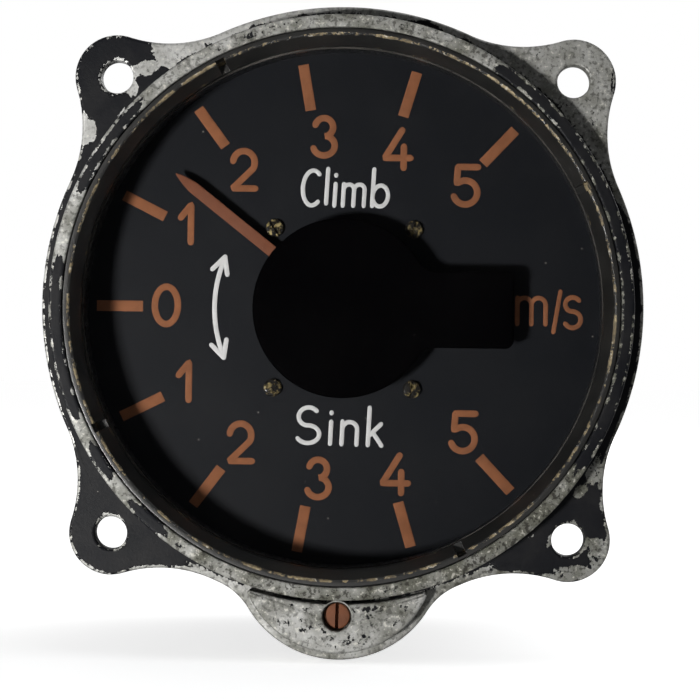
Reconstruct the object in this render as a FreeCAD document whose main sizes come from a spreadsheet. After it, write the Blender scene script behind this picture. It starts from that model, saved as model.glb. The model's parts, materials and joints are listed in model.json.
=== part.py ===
import FreeCAD, Part
import math
import os
import re
import Sketcher
from FreeCAD import Placement, Rotation, Vector

# Vertical speed indicator for an 80 mm panel cut-out, plus and minus 5 m/s.
# Frame: the front faces -Y, +X is to the right seen from the front, +Z is up.
# The origin lies on the pointer axis, in the front face of the mounting flange.
# A radius is measured from a piece's own axis, a depth along +Y from the flange face.

SIZES = {
    # Flange, collar, barrel and the lug below them
    "flange_margin": 1.5,
    "flange_thick": 3.2,
    "ear_inset": 10.0,
    "hole_bore": 4.5,
    "ear_radius": 5.8,
    "ear_blend": 18.0,
    "lug_inset": 8.3,
    "lug_radius": 14.5,
    "lug_blend": 9.0,
    "boss_radius": 13.35,
    "boss_height": 2.6,
    "boss_gap": 0.6,
    "overcut": 0.5,
    "collar_radius": 40.0,
    "collar_height": 4.0,
    "barrel_step": 0.5,
    "barrel_wall": 2.2,
    "rear_room": 6.4,
    "gear_house_radius": 13.6,
    "gear_house_depth": 14.5,
    "ledge_reach": 3.3,
    "ledge_thick": 3.0,
    # Glass, its ring and the spacer that holds the dial back
    "collar_wall": 1.8,
    "seat_depth": 1.9,
    "side_clearance": 0.1,
    "gasket_thick": 0.4,
    "glass_thick": 2.0,
    "ring_reach": 2.3,
    "ring_wall": 0.9,
    "ring_recess": 0.4,
    "ring_lip": 0.5,
    "slot_width": 1.7,
    "slot_depth": 2.6,
    "slot_turn": 26.9,
    # Dial and the keyhole-shaped cover over the hub
    "dial_depth": 6.5,
    "dial_thick": 1.0,
    "dial_bore": 3.0,
    "dial_screw_x": 9.75,
    "dial_screw_z": 11.2,
    "dial_screw_head": 1.25,
    "dial_screw_shank": 0.8,
    "dial_screw_height": 0.7,
    "dial_screw_slot": 0.35,
    "dial_post_radius": 2.0,
    "cover_radius": 12.5,
    "cover_lift": 3.2,
    "cover_thick": 1.0,
    "cover_arm_end": 23.8,
    "cover_arm_width": 10.7,
    "cover_arm_fillet": 2.6,
    "cover_corner": 1.2,
    "cover_edge": 0.3,
    "cover_post_x": 19.5,
    "cover_post_z": 2.9,
    "cover_post_radius": 1.1,
    # Pointer and its spindle
    "pointer_tip": 30.0,
    "pointer_tail": 7.0,
    "pointer_root_width": 2.0,
    "pointer_tip_width": 1.5,
    "pointer_point": 1.6,
    "pointer_lift": 1.7,
    "pointer_thick": 0.4,
    "pointer_hub_radius": 2.0,
    "pointer_hub_length": 1.1,
    "spindle_radius": 0.8,
    "spindle_front_reach": 0.4,
    "pointer_stop_swing": 138.0,
    "rest_swing": 38.2,
    # Movement plates, pillars and bushes
    "front_plate_gap": 3.0,
    "plate_thick": 2.0,
    "plate_spacing": 14.0,
    "plate_clearance": 1.8,
    "plate_window": 7.5,
    "plate_window_x": 22.0,
    "plate_window_z": 19.0,
    "pillar_radius": 2.0,
    "pillar_x": 22.0,
    "pillar_z": 16.0,
    "pillar_top_x": 13.0,
    "pillar_top_z": 26.0,
    "screw_head": 1.5,
    "screw_shank": 0.8,
    "screw_head_height": 0.9,
    "bush_radius": 2.2,
    "running_fit": 0.03,
    "end_room": 0.5,
    # Gear train: tooth_size is the pitch diameter per tooth
    "tooth_size": 0.4,
    "pinion_teeth": 12,
    "sector_full_teeth": 96,
    "sector_cut_teeth": 13,
    "sector_angle": 27.57,
    "sector_depth": 18.0,
    "sector_thick": 1.5,
    "tooth_share": 0.40,
    "tooth_top_share": 0.20,
    "tooth_rise": 0.28,
    "tooth_drop": 0.45,
    "tooth_sink": 0.27,
    "pinion_overhang": 0.7,
    "arbor_radius": 1.0,
    "sector_hub_radius": 2.4,
    "sector_hub_length": 1.0,
    "sector_spoke": 2.4,
    "fork_arm": 6.0,
    "fork_length": 8.2,
    "fork_width": 4.6,
    "fork_play": 0.25,
    "stop_pin_radius": 0.7,
    "stop_reach": 7.0,
    "stop_play": 0.15,
    # Hairspring
    "collet_radius": 1.6,
    "collet_length": 1.6,
    "hairspring_start": 2.0,
    "hairspring_pitch": 1.1,
    "hairspring_turns": 4,
    "hairspring_stud": 0.7,
    "hairspring_thick": 0.2,
    "hairspring_height": 0.8,
    # Rocking shaft, link and capsule
    "rocker_gap": 4.5,
    "rocker_radius": 1.0,
    "rocker_left": 13.0,
    "bracket_gap": 3.0,
    "bracket_thick": 2.4,
    "bracket_width": 6.0,
    "rod_radius": 0.6,
    "rocker_collar_radius": 2.2,
    "rocker_collar_width": 2.4,
    "rocker_arm_width": 2.8,
    "rocker_arm_thick": 1.6,
    "link_pin_radius": 0.5,
    "link_pin_end": 0.15,
    "link_length": 7.0,
    "link_thick": 0.8,
    "link_width": 3.6,
    "link_offset": 2.0,
    "link_play_along": 0.6,
    "link_play_across": 0.2,
    "stud_radius": 3.6,
    "stud_foot": 1.4,
    "stud_post_radius": 1.5,
    "stud_clearance": 0.2,
    "stud_reach": 3.4,
    "capsule_gap": 11.3,
    "capsule_rim": 2.5,
    "capsule_flat": 1.0,
    "capsule_half": 3.8,
    "capsule_sheet": 0.4,
    "capsule_wave": 0.8,
    "capsule_waves": 3,
    "capsule_base_radius": 5.0,
    "capsule_base_height": 2.0,
    "base_neck_radius": 2.5,
    "base_neck_length": 2.2,
    "base_bore_radius": 1.5,
    "base_nut_size": 4.2,
    "base_nut_height": 2.0,
    # Capsule carrier, tilted about its top hinge to set the zero
    "carrier_thick": 2.0,
    "carrier_width": 9.0,
    "carrier_pad_radius": 9.0,
    "hinge_inset": 7.3,
    "hinge_knuckle": 2.2,
    "hinge_knuckle_side": 1.5,
    "hinge_pin_radius": 1.0,
    "hinge_post_thick": 3.0,
    "hinge_post_gap": 0.3,
    "hinge_post_width": 6.0,
    "hinge_post_end": 2.6,
    # Zero adjuster
    "adjuster_gap": 2.3,
    "adjuster_head": 1.8,
    "adjuster_hole": 2.0,
    "adjuster_recess": 1.0,
    "adjuster_head_height": 3.0,
    "adjuster_slot": 0.6,
    "adjuster_slot_depth": 0.9,
    "adjuster_shaft": 1.2,
    "adjuster_end": 12.5,
    "packing_thick": 1.5,
    "zero_gear_teeth": 36,
    "zero_gear_gap": 0.8,
    "zero_gear_thick": 1.4,
    "zero_shaft_radius": 1.5,
    "zero_thread_fit": 0.12,
    "zero_shaft_tail": 1.5,
    "gear_room": 0.5,
    "gear_room_side": 1.0,
    # Rear cover, its screws and the two pipe unions
    "rear_gasket_thick": 0.4,
    "rear_cover_thick": 3.0,
    "rear_cover_edge": 0.8,
    "spigot_height": 1.4,
    "spigot_clearance": 0.2,
    "screw_post_radius": 3.0,
    "screw_post_inset": 2.7,
    "screw_post_length": 14.0,
    "cover_screw_head": 2.2,
    "cover_screw_shank": 1.2,
    "cover_screw_height": 1.5,
    "cover_screw_slot": 0.5,
    "cover_screw_length": 12.0,
    "union_x": 14.0,
    "union_radius": 5.0,
    "union_length": 9.7,
    "union_bore": 1.5,
    "union_hex": 6.9,
    "union_hex_length": 3.5,
    "union_tail_radius": 4.0,
    "union_nut_size": 6.2,
    "union_nut_length": 2.0,
    "union_chamfer": 0.6,
    "washer_thick": 0.4,
    "pipe_radius": 1.2,
    "pipe_wall": 0.4,
    "pipe_bend": 2.0,
    "pipe_insert": 1.6,
    "capillary_radius": 0.7,
    "capillary_length": 12.0,
    "capillary_x": 7.0,
    "saddle_radius": 1.6,
    "saddle_length": 2.0,
}

# Depths and places that follow from the sizes, each written once
PLACES = {
    "collar_front": "-collar_height",
    "flange_front": "0",
    "flange_radius": "collar_radius + flange_margin",
    "ear_place": "flange_radius - ear_inset",
    "barrel_radius": "collar_radius - barrel_step",
    "bore_radius": "barrel_radius - barrel_wall",
    "seat_radius": "collar_radius - collar_wall",
    "ring_mouth": "seat_radius - ring_wall",
    "window_radius": "seat_radius - ring_reach",
    "glass_back": "seat_depth - gasket_thick",
    "glass_front": "glass_back - glass_thick",
    "glass_radius": "seat_radius - 2 * side_clearance",
    "ring_front": "collar_front + ring_recess",
    "spacer_radius": "bore_radius - side_clearance",
    "dial_back": "dial_depth + dial_thick",
    "dial_radius": "bore_radius - 2 * side_clearance",
    "cover_back": "dial_depth - cover_lift",
    "cover_front": "cover_back - cover_thick",
    "pointer_back": "dial_depth - pointer_lift",
    "pointer_front": "pointer_back - pointer_thick",
    "front_plate_front": "dial_back + front_plate_gap",
    "front_plate_back": "front_plate_front + plate_thick",
    "back_plate_front": "front_plate_back + plate_spacing",
    "back_plate_back": "back_plate_front + plate_thick",
    "ledge_back": "front_plate_back + ledge_thick",
    "ledge_radius": "bore_radius - ledge_reach",
    "plate_radius": "bore_radius - plate_clearance",
    "sector_back": "sector_depth + sector_thick",
    "sector_middle": "sector_depth + sector_thick / 2",
    "pinion_pitch_radius": "tooth_size * pinion_teeth / 2",
    "sector_pitch_radius": "tooth_size * sector_full_teeth / 2",
    "zero_pitch_radius": "tooth_size * zero_gear_teeth / 2",
    "gear_distance": "pinion_pitch_radius + sector_pitch_radius",
    "arbor_x": "gear_distance * cos(sector_angle)",
    "arbor_z": "gear_distance * sin(sector_angle)",
    "rocker_height": "arbor_z",
    "rocker_depth": "back_plate_back + rocker_gap",
    "rod_length": "rocker_depth - sector_middle",
    "rest_sector": "rest_swing * pinion_teeth / sector_full_teeth",
    "rest_rocker": "rest_sector * fork_arm / rod_length",
    "arm_drop": "rocker_height",
    "rest_push": "arm_drop * sin(rest_rocker)",
    "rest_lift": "arm_drop * (1 - cos(rest_rocker))",
    "fork_x": "arbor_x + fork_arm",
    "stud_pin_depth": "rocker_depth + link_length",
    "capsule_depth": "stud_pin_depth + stud_reach",
    "capsule_radius": "bore_radius - capsule_gap",
    "capsule_middle": "capsule_depth + capsule_half",
    "capsule_back": "capsule_middle + capsule_half",
    "carrier_front": "capsule_back + capsule_base_height",
    "carrier_back": "carrier_front + carrier_thick",
    "carrier_middle": "carrier_front + carrier_thick / 2",
    "base_neck_back": "carrier_back + base_neck_length",
    "pipe_run": "base_neck_back + pipe_bend + pipe_wall",
    "barrel_length": "pipe_run + rear_room",
    "hinge_height": "bore_radius - hinge_inset",
    "adjuster_drop": "collar_radius + adjuster_gap",
    "lug_drop": "adjuster_drop - lug_inset",
    "zero_gear_drop": "adjuster_drop - pinion_pitch_radius - zero_pitch_radius",
    "zero_gear_front": "dial_back + zero_gear_gap",
    "zero_gear_back": "zero_gear_front + zero_gear_thick",
    "gear_room_front": "zero_gear_front - gear_room",
    "gear_room_back": "zero_gear_back + gear_room",
    "adjuster_front": "adjuster_recess - boss_height",
    "adjuster_step": "adjuster_front + adjuster_head_height",
    "packing_back": "adjuster_step + packing_thick",
    "cover_front_face": "barrel_length + rear_gasket_thick",
    "cover_rear_face": "cover_front_face + rear_cover_thick",
    "screw_post_place": "(bore_radius - screw_post_inset) * cos(45)",
    "screw_post_back": "cover_front_face - spigot_height - spigot_clearance",
    "washer_back": "cover_rear_face + washer_thick",
    "hex_back": "washer_back + union_hex_length",
    "union_end": "hex_back + union_length",
    "nut_front": "cover_front_face - spigot_height - union_nut_length",
    "tail_front": "nut_front - union_chamfer",
    "rest_arm_depth": "rocker_depth - rest_push",
    "rest_arm_height": "rest_lift",
    "hinge_half": "carrier_width / 2 + hinge_knuckle_side",
    "sector_limit": "pointer_stop_swing * pinion_teeth / sector_full_teeth",
    "stop_angle": "sector_limit + asin((fork_width / 2 + stop_pin_radius + stop_play) / stop_reach) / 1 deg",
    "sector_step": "360 / sector_full_teeth",
    "sector_spread": "sector_step * (sector_cut_teeth - 1)",
    "hairspring_end": "hairspring_start + hairspring_pitch * hairspring_turns",
}

SHEET = "sizes"
WORD = re.compile(r"[a-z_]+")
ALONG_Y = Vector(0, 1, 0)
ALONG_X = Vector(1, 0, 0)
TOUCH = 0.05
ALIGNED = 0.999

doc = FreeCAD.newDocument("vertical_speed_indicator")
sheet = doc.addObject("Spreadsheet::Sheet", SHEET)


def from_sheet(text):
    """Put the sheet's name before each word that is one of its cells."""
    def cell(word):
        name = word.group()
        return f"{SHEET}.{name}" if name in SIZES or name in PLACES else name
    return WORD.sub(cell, text)


def number(text):
    """The value that an expression on the sheet has now."""
    answer = sheet.evalExpression(from_sheet(text))
    return getattr(answer, "Value", answer)


def fill_sheet():
    for row, (name, content) in enumerate([*SIZES.items(), *PLACES.items()], start=1):
        sheet.set(f"A{row}", name)
        sheet.setAlias(f"B{row}", name)
        plain = name in SIZES
        sheet.set(f"B{row}", str(content) if plain else "=" + content)
    doc.recompute()


# Helpers that draw on a body's own planes

PLANE_SIGN = {"XZ_Plane": -1, "YZ_Plane": 1, "XY_Plane": 1}


def new_body(label, several=False):
    body = doc.addObject("PartDesign::Body", label)
    body.Label = label
    body.AllowCompound = several
    return body


def sketch_on(body, name, plane, start="0"):
    """A sketch on one of the body's own planes, moved along that plane's axis to start."""
    sketch = body.newObject("Sketcher::SketchObject", name)
    origin_plane = [f for f in body.Origin.OriginFeatures if f.Role == plane][0]
    sketch.AttachmentSupport = [(origin_plane, "")]
    sketch.MapMode = "FlatFace"
    sign = "-" if PLANE_SIGN[plane] < 0 else ""
    sketch.setExpression("AttachmentOffset.Base.z", from_sheet(f"{sign}({start})"))
    return sketch


def place_point(sketch, geometry, end, across, up):
    """Bind one point of a sketch to its two coordinates."""
    for kind, text in (("DistanceX", across), ("DistanceY", up)):
        rule = Sketcher.Constraint(kind, -1, 1, geometry, end, number(text))
        index = sketch.addConstraint(rule)
        sketch.setExpression(f"Constraints[{index}]", from_sheet(text))


def add_circle(sketch, across, up, radius):
    centre = Vector(number(across), number(up), 0)
    index = sketch.addGeometry(Part.Circle(centre, Vector(0, 0, 1), number(radius)))
    size = sketch.addConstraint(Sketcher.Constraint("Radius", index, number(radius)))
    sketch.setExpression(f"Constraints[{size}]", from_sheet(radius))
    place_point(sketch, index, 3, across, up)


def add_outline(sketch, points):
    """A closed outline of straight edges, each corner bound to its coordinates."""
    corners = [Vector(number(across), number(up), 0) for across, up in points]
    first = sketch.GeometryCount
    for here, there in zip(corners, corners[1:] + corners[:1]):
        sketch.addGeometry(Part.LineSegment(here, there))
    for i, (across, up) in enumerate(points):
        before = first + (i - 1) % len(points)
        sketch.addConstraint(Sketcher.Constraint("Coincident", before, 2, first + i, 1))
        place_point(sketch, first + i, 1, across, up)


def add_box(sketch, left, right, low, high):
    add_outline(sketch, [(left, low), (right, low), (right, high), (left, high)])


def pad(body, sketch, length, name):
    """Fill a sketch forwards along its plane's positive axis."""
    feature = body.newObject("PartDesign::Pad", name)
    feature.Profile = sketch
    feature.Reversed = sketch_sign(sketch) < 0
    feature.setExpression("Length", from_sheet(length))
    return feature


def cut(body, sketch, length, name):
    """Cut a sketch forwards along its plane's positive axis, and see that it cuts."""
    doc.recompute()
    before = body.Shape.Volume
    feature = body.newObject("PartDesign::Pocket", name)
    feature.Profile = sketch
    feature.Reversed = sketch_sign(sketch) > 0
    feature.setExpression("Length", from_sheet(length))
    doc.recompute()
    if body.Shape.Volume >= before:
        raise ValueError(f"{name} cuts nothing")
    return feature


def sketch_sign(sketch):
    return PLANE_SIGN[sketch.AttachmentSupport[0][0].Role]


def pad_circles(body, name, places, radius, start, end, plane="XZ_Plane"):
    sketch = sketch_on(body, name + "_circles", plane, start)
    for across, up in places:
        add_circle(sketch, across, up, radius)
    return pad(body, sketch, f"({end}) - ({start})", name)


def cut_circles(body, name, places, radius, start, end, plane="XZ_Plane"):
    sketch = sketch_on(body, name + "_circles", plane, start)
    for across, up in places:
        add_circle(sketch, across, up, radius)
    return cut(body, sketch, f"({end}) - ({start})", name)


def pad_box(body, name, box, start, end, plane="XZ_Plane"):
    sketch = sketch_on(body, name + "_outline", plane, start)
    add_box(sketch, *box)
    return pad(body, sketch, f"({end}) - ({start})", name)


def cut_box(body, name, box, start, end, plane="XZ_Plane"):
    sketch = sketch_on(body, name + "_outline", plane, start)
    add_box(sketch, *box)
    return cut(body, sketch, f"({end}) - ({start})", name)


def turn(body, name, points):
    """Turn a profile of (radius, depth) points about the Y axis."""
    sketch = sketch_on(body, name + "_profile", "XY_Plane")
    add_outline(sketch, points)
    feature = body.newObject("PartDesign::Revolution", name)
    feature.Profile = sketch
    feature.ReferenceAxis = (sketch, ["V_Axis"])
    return feature


def turn_away(body, name, points):
    """Turn a profile of (radius, depth) points about the Y axis, and take it away."""
    doc.recompute()
    before = body.Shape.Volume
    sketch = sketch_on(body, name + "_profile", "XY_Plane")
    add_outline(sketch, points)
    feature = body.newObject("PartDesign::Groove", name)
    feature.Profile = sketch
    feature.ReferenceAxis = (sketch, ["V_Axis"])
    doc.recompute()
    if body.Shape.Volume >= before:
        raise ValueError(f"{name} cuts nothing")
    return feature


def ring(body, name, inner, outer, front, back):
    return turn(body, name, [(inner, front), (outer, front), (outer, back), (inner, back)])


def repeat(body, feature, count, angle="360"):
    """Repeat a feature about the body's own Y axis."""
    axis = [f for f in body.Origin.OriginFeatures if f.Role == "Y_Axis"][0]
    pattern = body.newObject("PartDesign::PolarPattern", feature.Name + "_pattern")
    pattern.Originals = [feature]
    pattern.Axis = (axis, [""])
    pattern.setExpression("Angle", from_sheet(angle))
    pattern.setExpression("Occurrences", from_sheet(count))
    body.Tip = pattern
    return pattern


def set_place(piece, across="0", depth="0", up="0", axis=None, angle="0"):
    """Move a piece, and turn it about an axis, by expressions on the sheet."""
    if axis is not None:
        piece.Placement = Placement(Vector(), Rotation(axis, 1))
        piece.setExpression("Placement.Rotation.Angle", from_sheet(angle))
    for letter, text in (("x", across), ("y", depth), ("z", up)):
        piece.setExpression(f"Placement.Base.{letter}", from_sheet(text))


def edges_at(body, places):
    """Names of the edges along Y that pass through the (x, z) places."""
    names = []
    for i, edge in enumerate(body.Shape.Edges, start=1):
        line = edge.Curve
        if not isinstance(line, Part.Line) or abs(line.Direction.dot(ALONG_Y)) < ALIGNED:
            continue
        foot = edge.Vertexes[0].Point
        if any(math.hypot(foot.x - x, foot.z - z) < TOUCH for x, z in places):
            names.append(f"Edge{i}")
    return names


def dress_edges(body, kind, name, names, cell, size):
    """Round or bevel edges of a body's last feature."""
    base = body.Tip
    dressed = body.newObject(kind, name)
    dressed.Base = (base, names)
    dressed.setExpression(cell, from_sheet(size))
    body.Tip = dressed


def round_edges(body, name, names, radius):
    dress_edges(body, "PartDesign::Fillet", name, names, "Radius", radius)


def bevel_edges(body, name, names, size):
    dress_edges(body, "PartDesign::Chamfer", name, names, "Size", size)


def both_signs(across, up):
    return [(f"{i}{across}", f"{j}{up}") for i in ("", "-") for j in ("", "-")]


# The flange outline: one circle, four ears and the lug, joined by tangent arcs

def tangent_arcs(circles):
    """Arcs that walk round a ring of circles, with a blend arc between each two.

    Each circle is (x, z, radius, blend). The blend arc between two neighbours has
    the larger of their blend radii, and touches both from outside. Every arc is
    given as x, z, radius, start, end and 1 where it bulges, -1 where it is a blend.
    """
    arcs = []
    feet = []
    count = len(circles)
    for i in range(count):
        (xa, za, ra, ba), (xb, zb, rb, bb) = circles[i], circles[(i + 1) % count]
        blend = max(ba, bb)
        apart = math.hypot(xb - xa, zb - za)
        reach_a = ra + blend
        reach_b = rb + blend
        along = (reach_a ** 2 - reach_b ** 2 + apart ** 2) / (2 * apart)
        aside = math.sqrt(reach_a ** 2 - along ** 2)
        ux, uz = (xb - xa) / apart, (zb - za) / apart
        # Walking clockwise seen from the front, the outside lies to the left
        xc, zc = xa + along * ux - aside * uz, za + along * uz + aside * ux
        foot_a = (xa + (xc - xa) * ra / reach_a, za + (zc - za) * ra / reach_a)
        foot_b = (xb + (xc - xb) * rb / reach_b, zb + (zc - zb) * rb / reach_b)
        feet.append((foot_a, foot_b, (xc, zc, blend)))
    for i in range(count):
        xa, za, ra, _ = circles[i]
        arcs.append((xa, za, ra, feet[i - 1][1], feet[i][0], 1))
        xc, zc, blend = feet[i][2]
        arcs.append((xc, zc, blend, feet[i][0], feet[i][1], -1))
    return arcs


def flange_circles():
    """The circles that the flange outline walks round, clockwise from the top."""
    radius, ear, ear_at = number("flange_radius"), number("ear_radius"), number("ear_place")
    ear_blend, lug_blend = number("ear_blend"), number("lug_blend")
    body_circle = (0, 0, radius, 0)
    lug = (0, -number("lug_drop"), number("lug_radius"), lug_blend)
    ears = [(x * ear_at, z * ear_at, ear, ear_blend) for x, z in ((1, 1), (1, -1), (-1, -1), (-1, 1))]
    return [
        body_circle, ears[0], body_circle, ears[1], body_circle,
        lug, body_circle, ears[2], body_circle, ears[3],
    ]


def flange_face():
    """The flat outline of the flange, in the XZ plane."""
    edges = []
    for x, z, radius, start, end, bulge in tangent_arcs(flange_circles()):
        a = math.atan2(start[1] - z, start[0] - x)
        b = math.atan2(end[1] - z, end[0] - x)
        # A bulging arc is walked clockwise, a blend arc the other way
        sweep = (a - b) % (2 * math.pi) if bulge > 0 else -((b - a) % (2 * math.pi))
        middle = a - sweep / 2
        ends = [Vector(p[0], 0, p[1]) for p in (start, end)]
        crest = Vector(x + radius * math.cos(middle), 0, z + radius * math.sin(middle))
        edges.append(Part.Arc(ends[0], crest, ends[1]).toShape())
    return Part.Face(Part.Wire(edges))


def make_flange_plate(body):
    """The flange's outline as a sketch of arcs, filled to its thickness."""
    sketch = sketch_on(body, "flange_outline", "XZ_Plane", "flange_front")
    for edge in flange_face().OuterWire.OrderedEdges:
        points = [edge.valueAt(t) for t in (edge.FirstParameter, edge.LastParameter)]
        middle = edge.valueAt((edge.FirstParameter + edge.LastParameter) / 2)
        flat = [Vector(p.x, p.z, 0) for p in (points[0], middle, points[1])]
        sketch.addGeometry(Part.Arc(*flat))
    for i in range(sketch.GeometryCount):
        sketch.addConstraint(Sketcher.Constraint("Block", i))
    return pad(body, sketch, "flange_thick", "flange")


def make_case_body():
    body = new_body("case_body")
    turn(body, "barrel", [
        ("0", "collar_front"), ("collar_radius", "collar_front"),
        ("collar_radius", "flange_thick"), ("barrel_radius", "flange_thick"),
        ("barrel_radius", "barrel_length"), ("0", "barrel_length"),
    ])
    make_flange_plate(body)
    lug = [("0", "-lug_drop")]
    pad_circles(body, "lug_boss", lug, "boss_radius", "-boss_height", "flange_thick")
    pad_circles(body, "gear_house", lug, "gear_house_radius", "flange_thick", "gear_house_depth")
    turn_away(body, "boss_groove", [
        ("collar_radius", "-boss_height - overcut"),
        ("collar_radius + boss_gap", "-boss_height - overcut"),
        ("collar_radius + boss_gap", "flange_front"), ("collar_radius", "flange_front"),
    ])
    # The bores last, so that nothing padded after them stands inside
    turn_away(body, "bores", [
        ("0", "collar_front - overcut"), ("seat_radius", "collar_front - overcut"),
        ("seat_radius", "seat_depth"), ("bore_radius", "seat_depth"),
        ("bore_radius", "front_plate_back"), ("ledge_radius", "front_plate_back"),
        ("ledge_radius", "ledge_back"), ("bore_radius", "ledge_back"),
        ("bore_radius", "barrel_length + overcut"), ("0", "barrel_length + overcut"),
    ])
    pad_circles(
        body, "screw_posts", both_signs("screw_post_place", "screw_post_place"), "screw_post_radius",
        "screw_post_back - screw_post_length", "screw_post_back",
    )
    cut_circles(
        body, "screw_post_holes", both_signs("screw_post_place", "screw_post_place"),
        "cover_screw_shank + running_fit", "screw_post_back - cover_screw_length", "screw_post_back",
    )
    cut_circles(
        body, "mounting_holes", both_signs("ear_place", "ear_place"), "hole_bore / 2",
        "flange_front", "flange_thick",
    )
    adjuster = [("0", "-adjuster_drop")]
    cut_circles(body, "adjuster_hole", adjuster, "adjuster_hole", "-boss_height", "packing_back")
    cut_circles(
        body, "adjuster_bearing", adjuster, "adjuster_shaft + running_fit",
        "packing_back", "adjuster_end + running_fit",
    )
    cut_circles(
        body, "pinion_room", adjuster, "pinion_pitch_radius + gear_room_side",
        "gear_room_front", "gear_room_back",
    )
    cut_circles(
        body, "gear_room_cut", [("0", "-zero_gear_drop")], "zero_pitch_radius + gear_room_side",
        "gear_room_front", "gear_room_back",
    )
    cut_circles(
        body, "ledge_notch", [("0", "-zero_gear_drop")], "zero_shaft_radius + gear_room",
        "front_plate_back", "ledge_back",
    )
    cut_circles(
        body, "plate_screw_holes", plate_screw_places(), "screw_shank",
        "front_plate_back", "ledge_back",
    )
    return body


def plate_screw_places():
    """Three places on the middle of the ledge that carries the front plate."""
    circle = "(ledge_radius + ledge_reach / 2)"
    return [(f"{circle} * cos({angle})", f"{circle} * sin({angle})") for angle in (90, 210, 330)]


# Glass and front rings

def make_front_rings():
    retainer = new_body("retaining_ring")
    turn(retainer, "retainer", [
        ("ring_mouth", "ring_front"), ("seat_radius - side_clearance", "ring_front"),
        ("seat_radius - side_clearance", "glass_front"), ("window_radius", "glass_front"),
        ("window_radius", "glass_front - ring_lip"),
    ])
    slot = cut_box(
        retainer, "spanner_slot",
        ("window_radius - ring_lip", "seat_radius - ring_lip", "-slot_width / 2", "slot_width / 2"),
        "ring_front", "ring_front + slot_depth",
    )
    repeat(retainer, slot, "4")
    set_place(retainer, axis=ALONG_Y, angle="-slot_turn")

    glass = new_body("glass")
    pad_circles(glass, "glass_disc", [("0", "0")], "glass_radius", "glass_front", "glass_back")

    gasket = new_body("glass_gasket")
    ring(gasket, "gasket", "window_radius", "glass_radius", "glass_back", "seat_depth")

    spacer = new_body("spacer_ring")
    ring(spacer, "spacer", "window_radius", "spacer_radius", "seat_depth", "dial_depth")


# Dial, hub cover and what holds them

def make_dial():
    dial = new_body("dial")
    pad_circles(dial, "dial_disc", [("0", "0")], "dial_radius", "dial_depth", "dial_back")
    cut_circles(dial, "dial_bore_cut", [("0", "0")], "dial_bore", "dial_depth", "dial_back")
    cut_circles(
        dial, "dial_screw_holes", both_signs("dial_screw_x", "dial_screw_z"),
        "dial_screw_shank + running_fit", "dial_depth", "dial_back",
    )
    cut_circles(
        dial, "dial_post_holes", cover_post_places(), "cover_post_radius + running_fit",
        "dial_depth", "dial_back",
    )

    posts = new_body("dial_posts", several=True)
    places = both_signs("dial_screw_x", "dial_screw_z")
    pad_circles(posts, "posts", places, "dial_post_radius", "dial_back", "front_plate_front")
    cut_circles(posts, "post_holes", places, "dial_screw_shank", "dial_back", "front_plate_front")

    screws = new_body("dial_screws", several=True)
    pad_circles(
        screws, "heads", places, "dial_screw_head", "dial_depth - dial_screw_height", "dial_depth",
    )
    pad_circles(screws, "shanks", places, "dial_screw_shank", "dial_depth", "front_plate_front - end_room")
    cut_slots(
        screws, "slots", places, "dial_screw_head", "dial_screw_slot",
        "dial_depth - dial_screw_height", "dial_screw_height / 2",
    )


def cut_slots(body, name, places, reach, width, start, depth):
    """A level driver slot across each of the heads at the given places."""
    sketch = sketch_on(body, name + "_outline", "XZ_Plane", start)
    for across, up in places:
        box = [f"{across} - {reach}", f"{across} + {reach}", f"{up} - {width} / 2", f"{up} + {width} / 2"]
        add_box(sketch, *box)
    return cut(body, sketch, depth, name)


def cover_post_places():
    return [("cover_post_x", "cover_post_z"), ("cover_post_x", "-cover_post_z")]


def make_pointer_cover():
    cover = new_body("pointer_cover")
    pad_circles(cover, "cover_disc", [("0", "0")], "cover_radius", "cover_front", "cover_back")
    pad_box(
        cover, "cover_arm", ("0", "cover_arm_end", "-cover_arm_width / 2", "cover_arm_width / 2"),
        "cover_front", "cover_back",
    )
    doc.recompute()
    half = number("cover_arm_width / 2")
    neck = math.sqrt(number("cover_radius") ** 2 - half ** 2)
    inner = edges_at(cover, [(neck, half), (neck, -half)])
    round_edges(cover, "cover_neck", inner, "cover_arm_fillet")
    doc.recompute()
    tip = number("cover_arm_end")
    round_edges(cover, "cover_tip", edges_at(cover, [(tip, half), (tip, -half)]), "cover_corner")
    doc.recompute()
    front = [
        f"Edge{i}" for i, edge in enumerate(cover.Shape.Edges, start=1)
        if all(abs(v.Point.y - number("cover_front")) < TOUCH for v in edge.Vertexes)
    ]
    bevel_edges(cover, "cover_rim", front, "cover_edge")

    posts = new_body("cover_posts", several=True)
    pad_circles(
        posts, "posts", cover_post_places(), "cover_post_radius", "cover_back", "front_plate_back",
    )


# Pointer and spindle, drawn pointing along -X and turned to the rest reading

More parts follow.
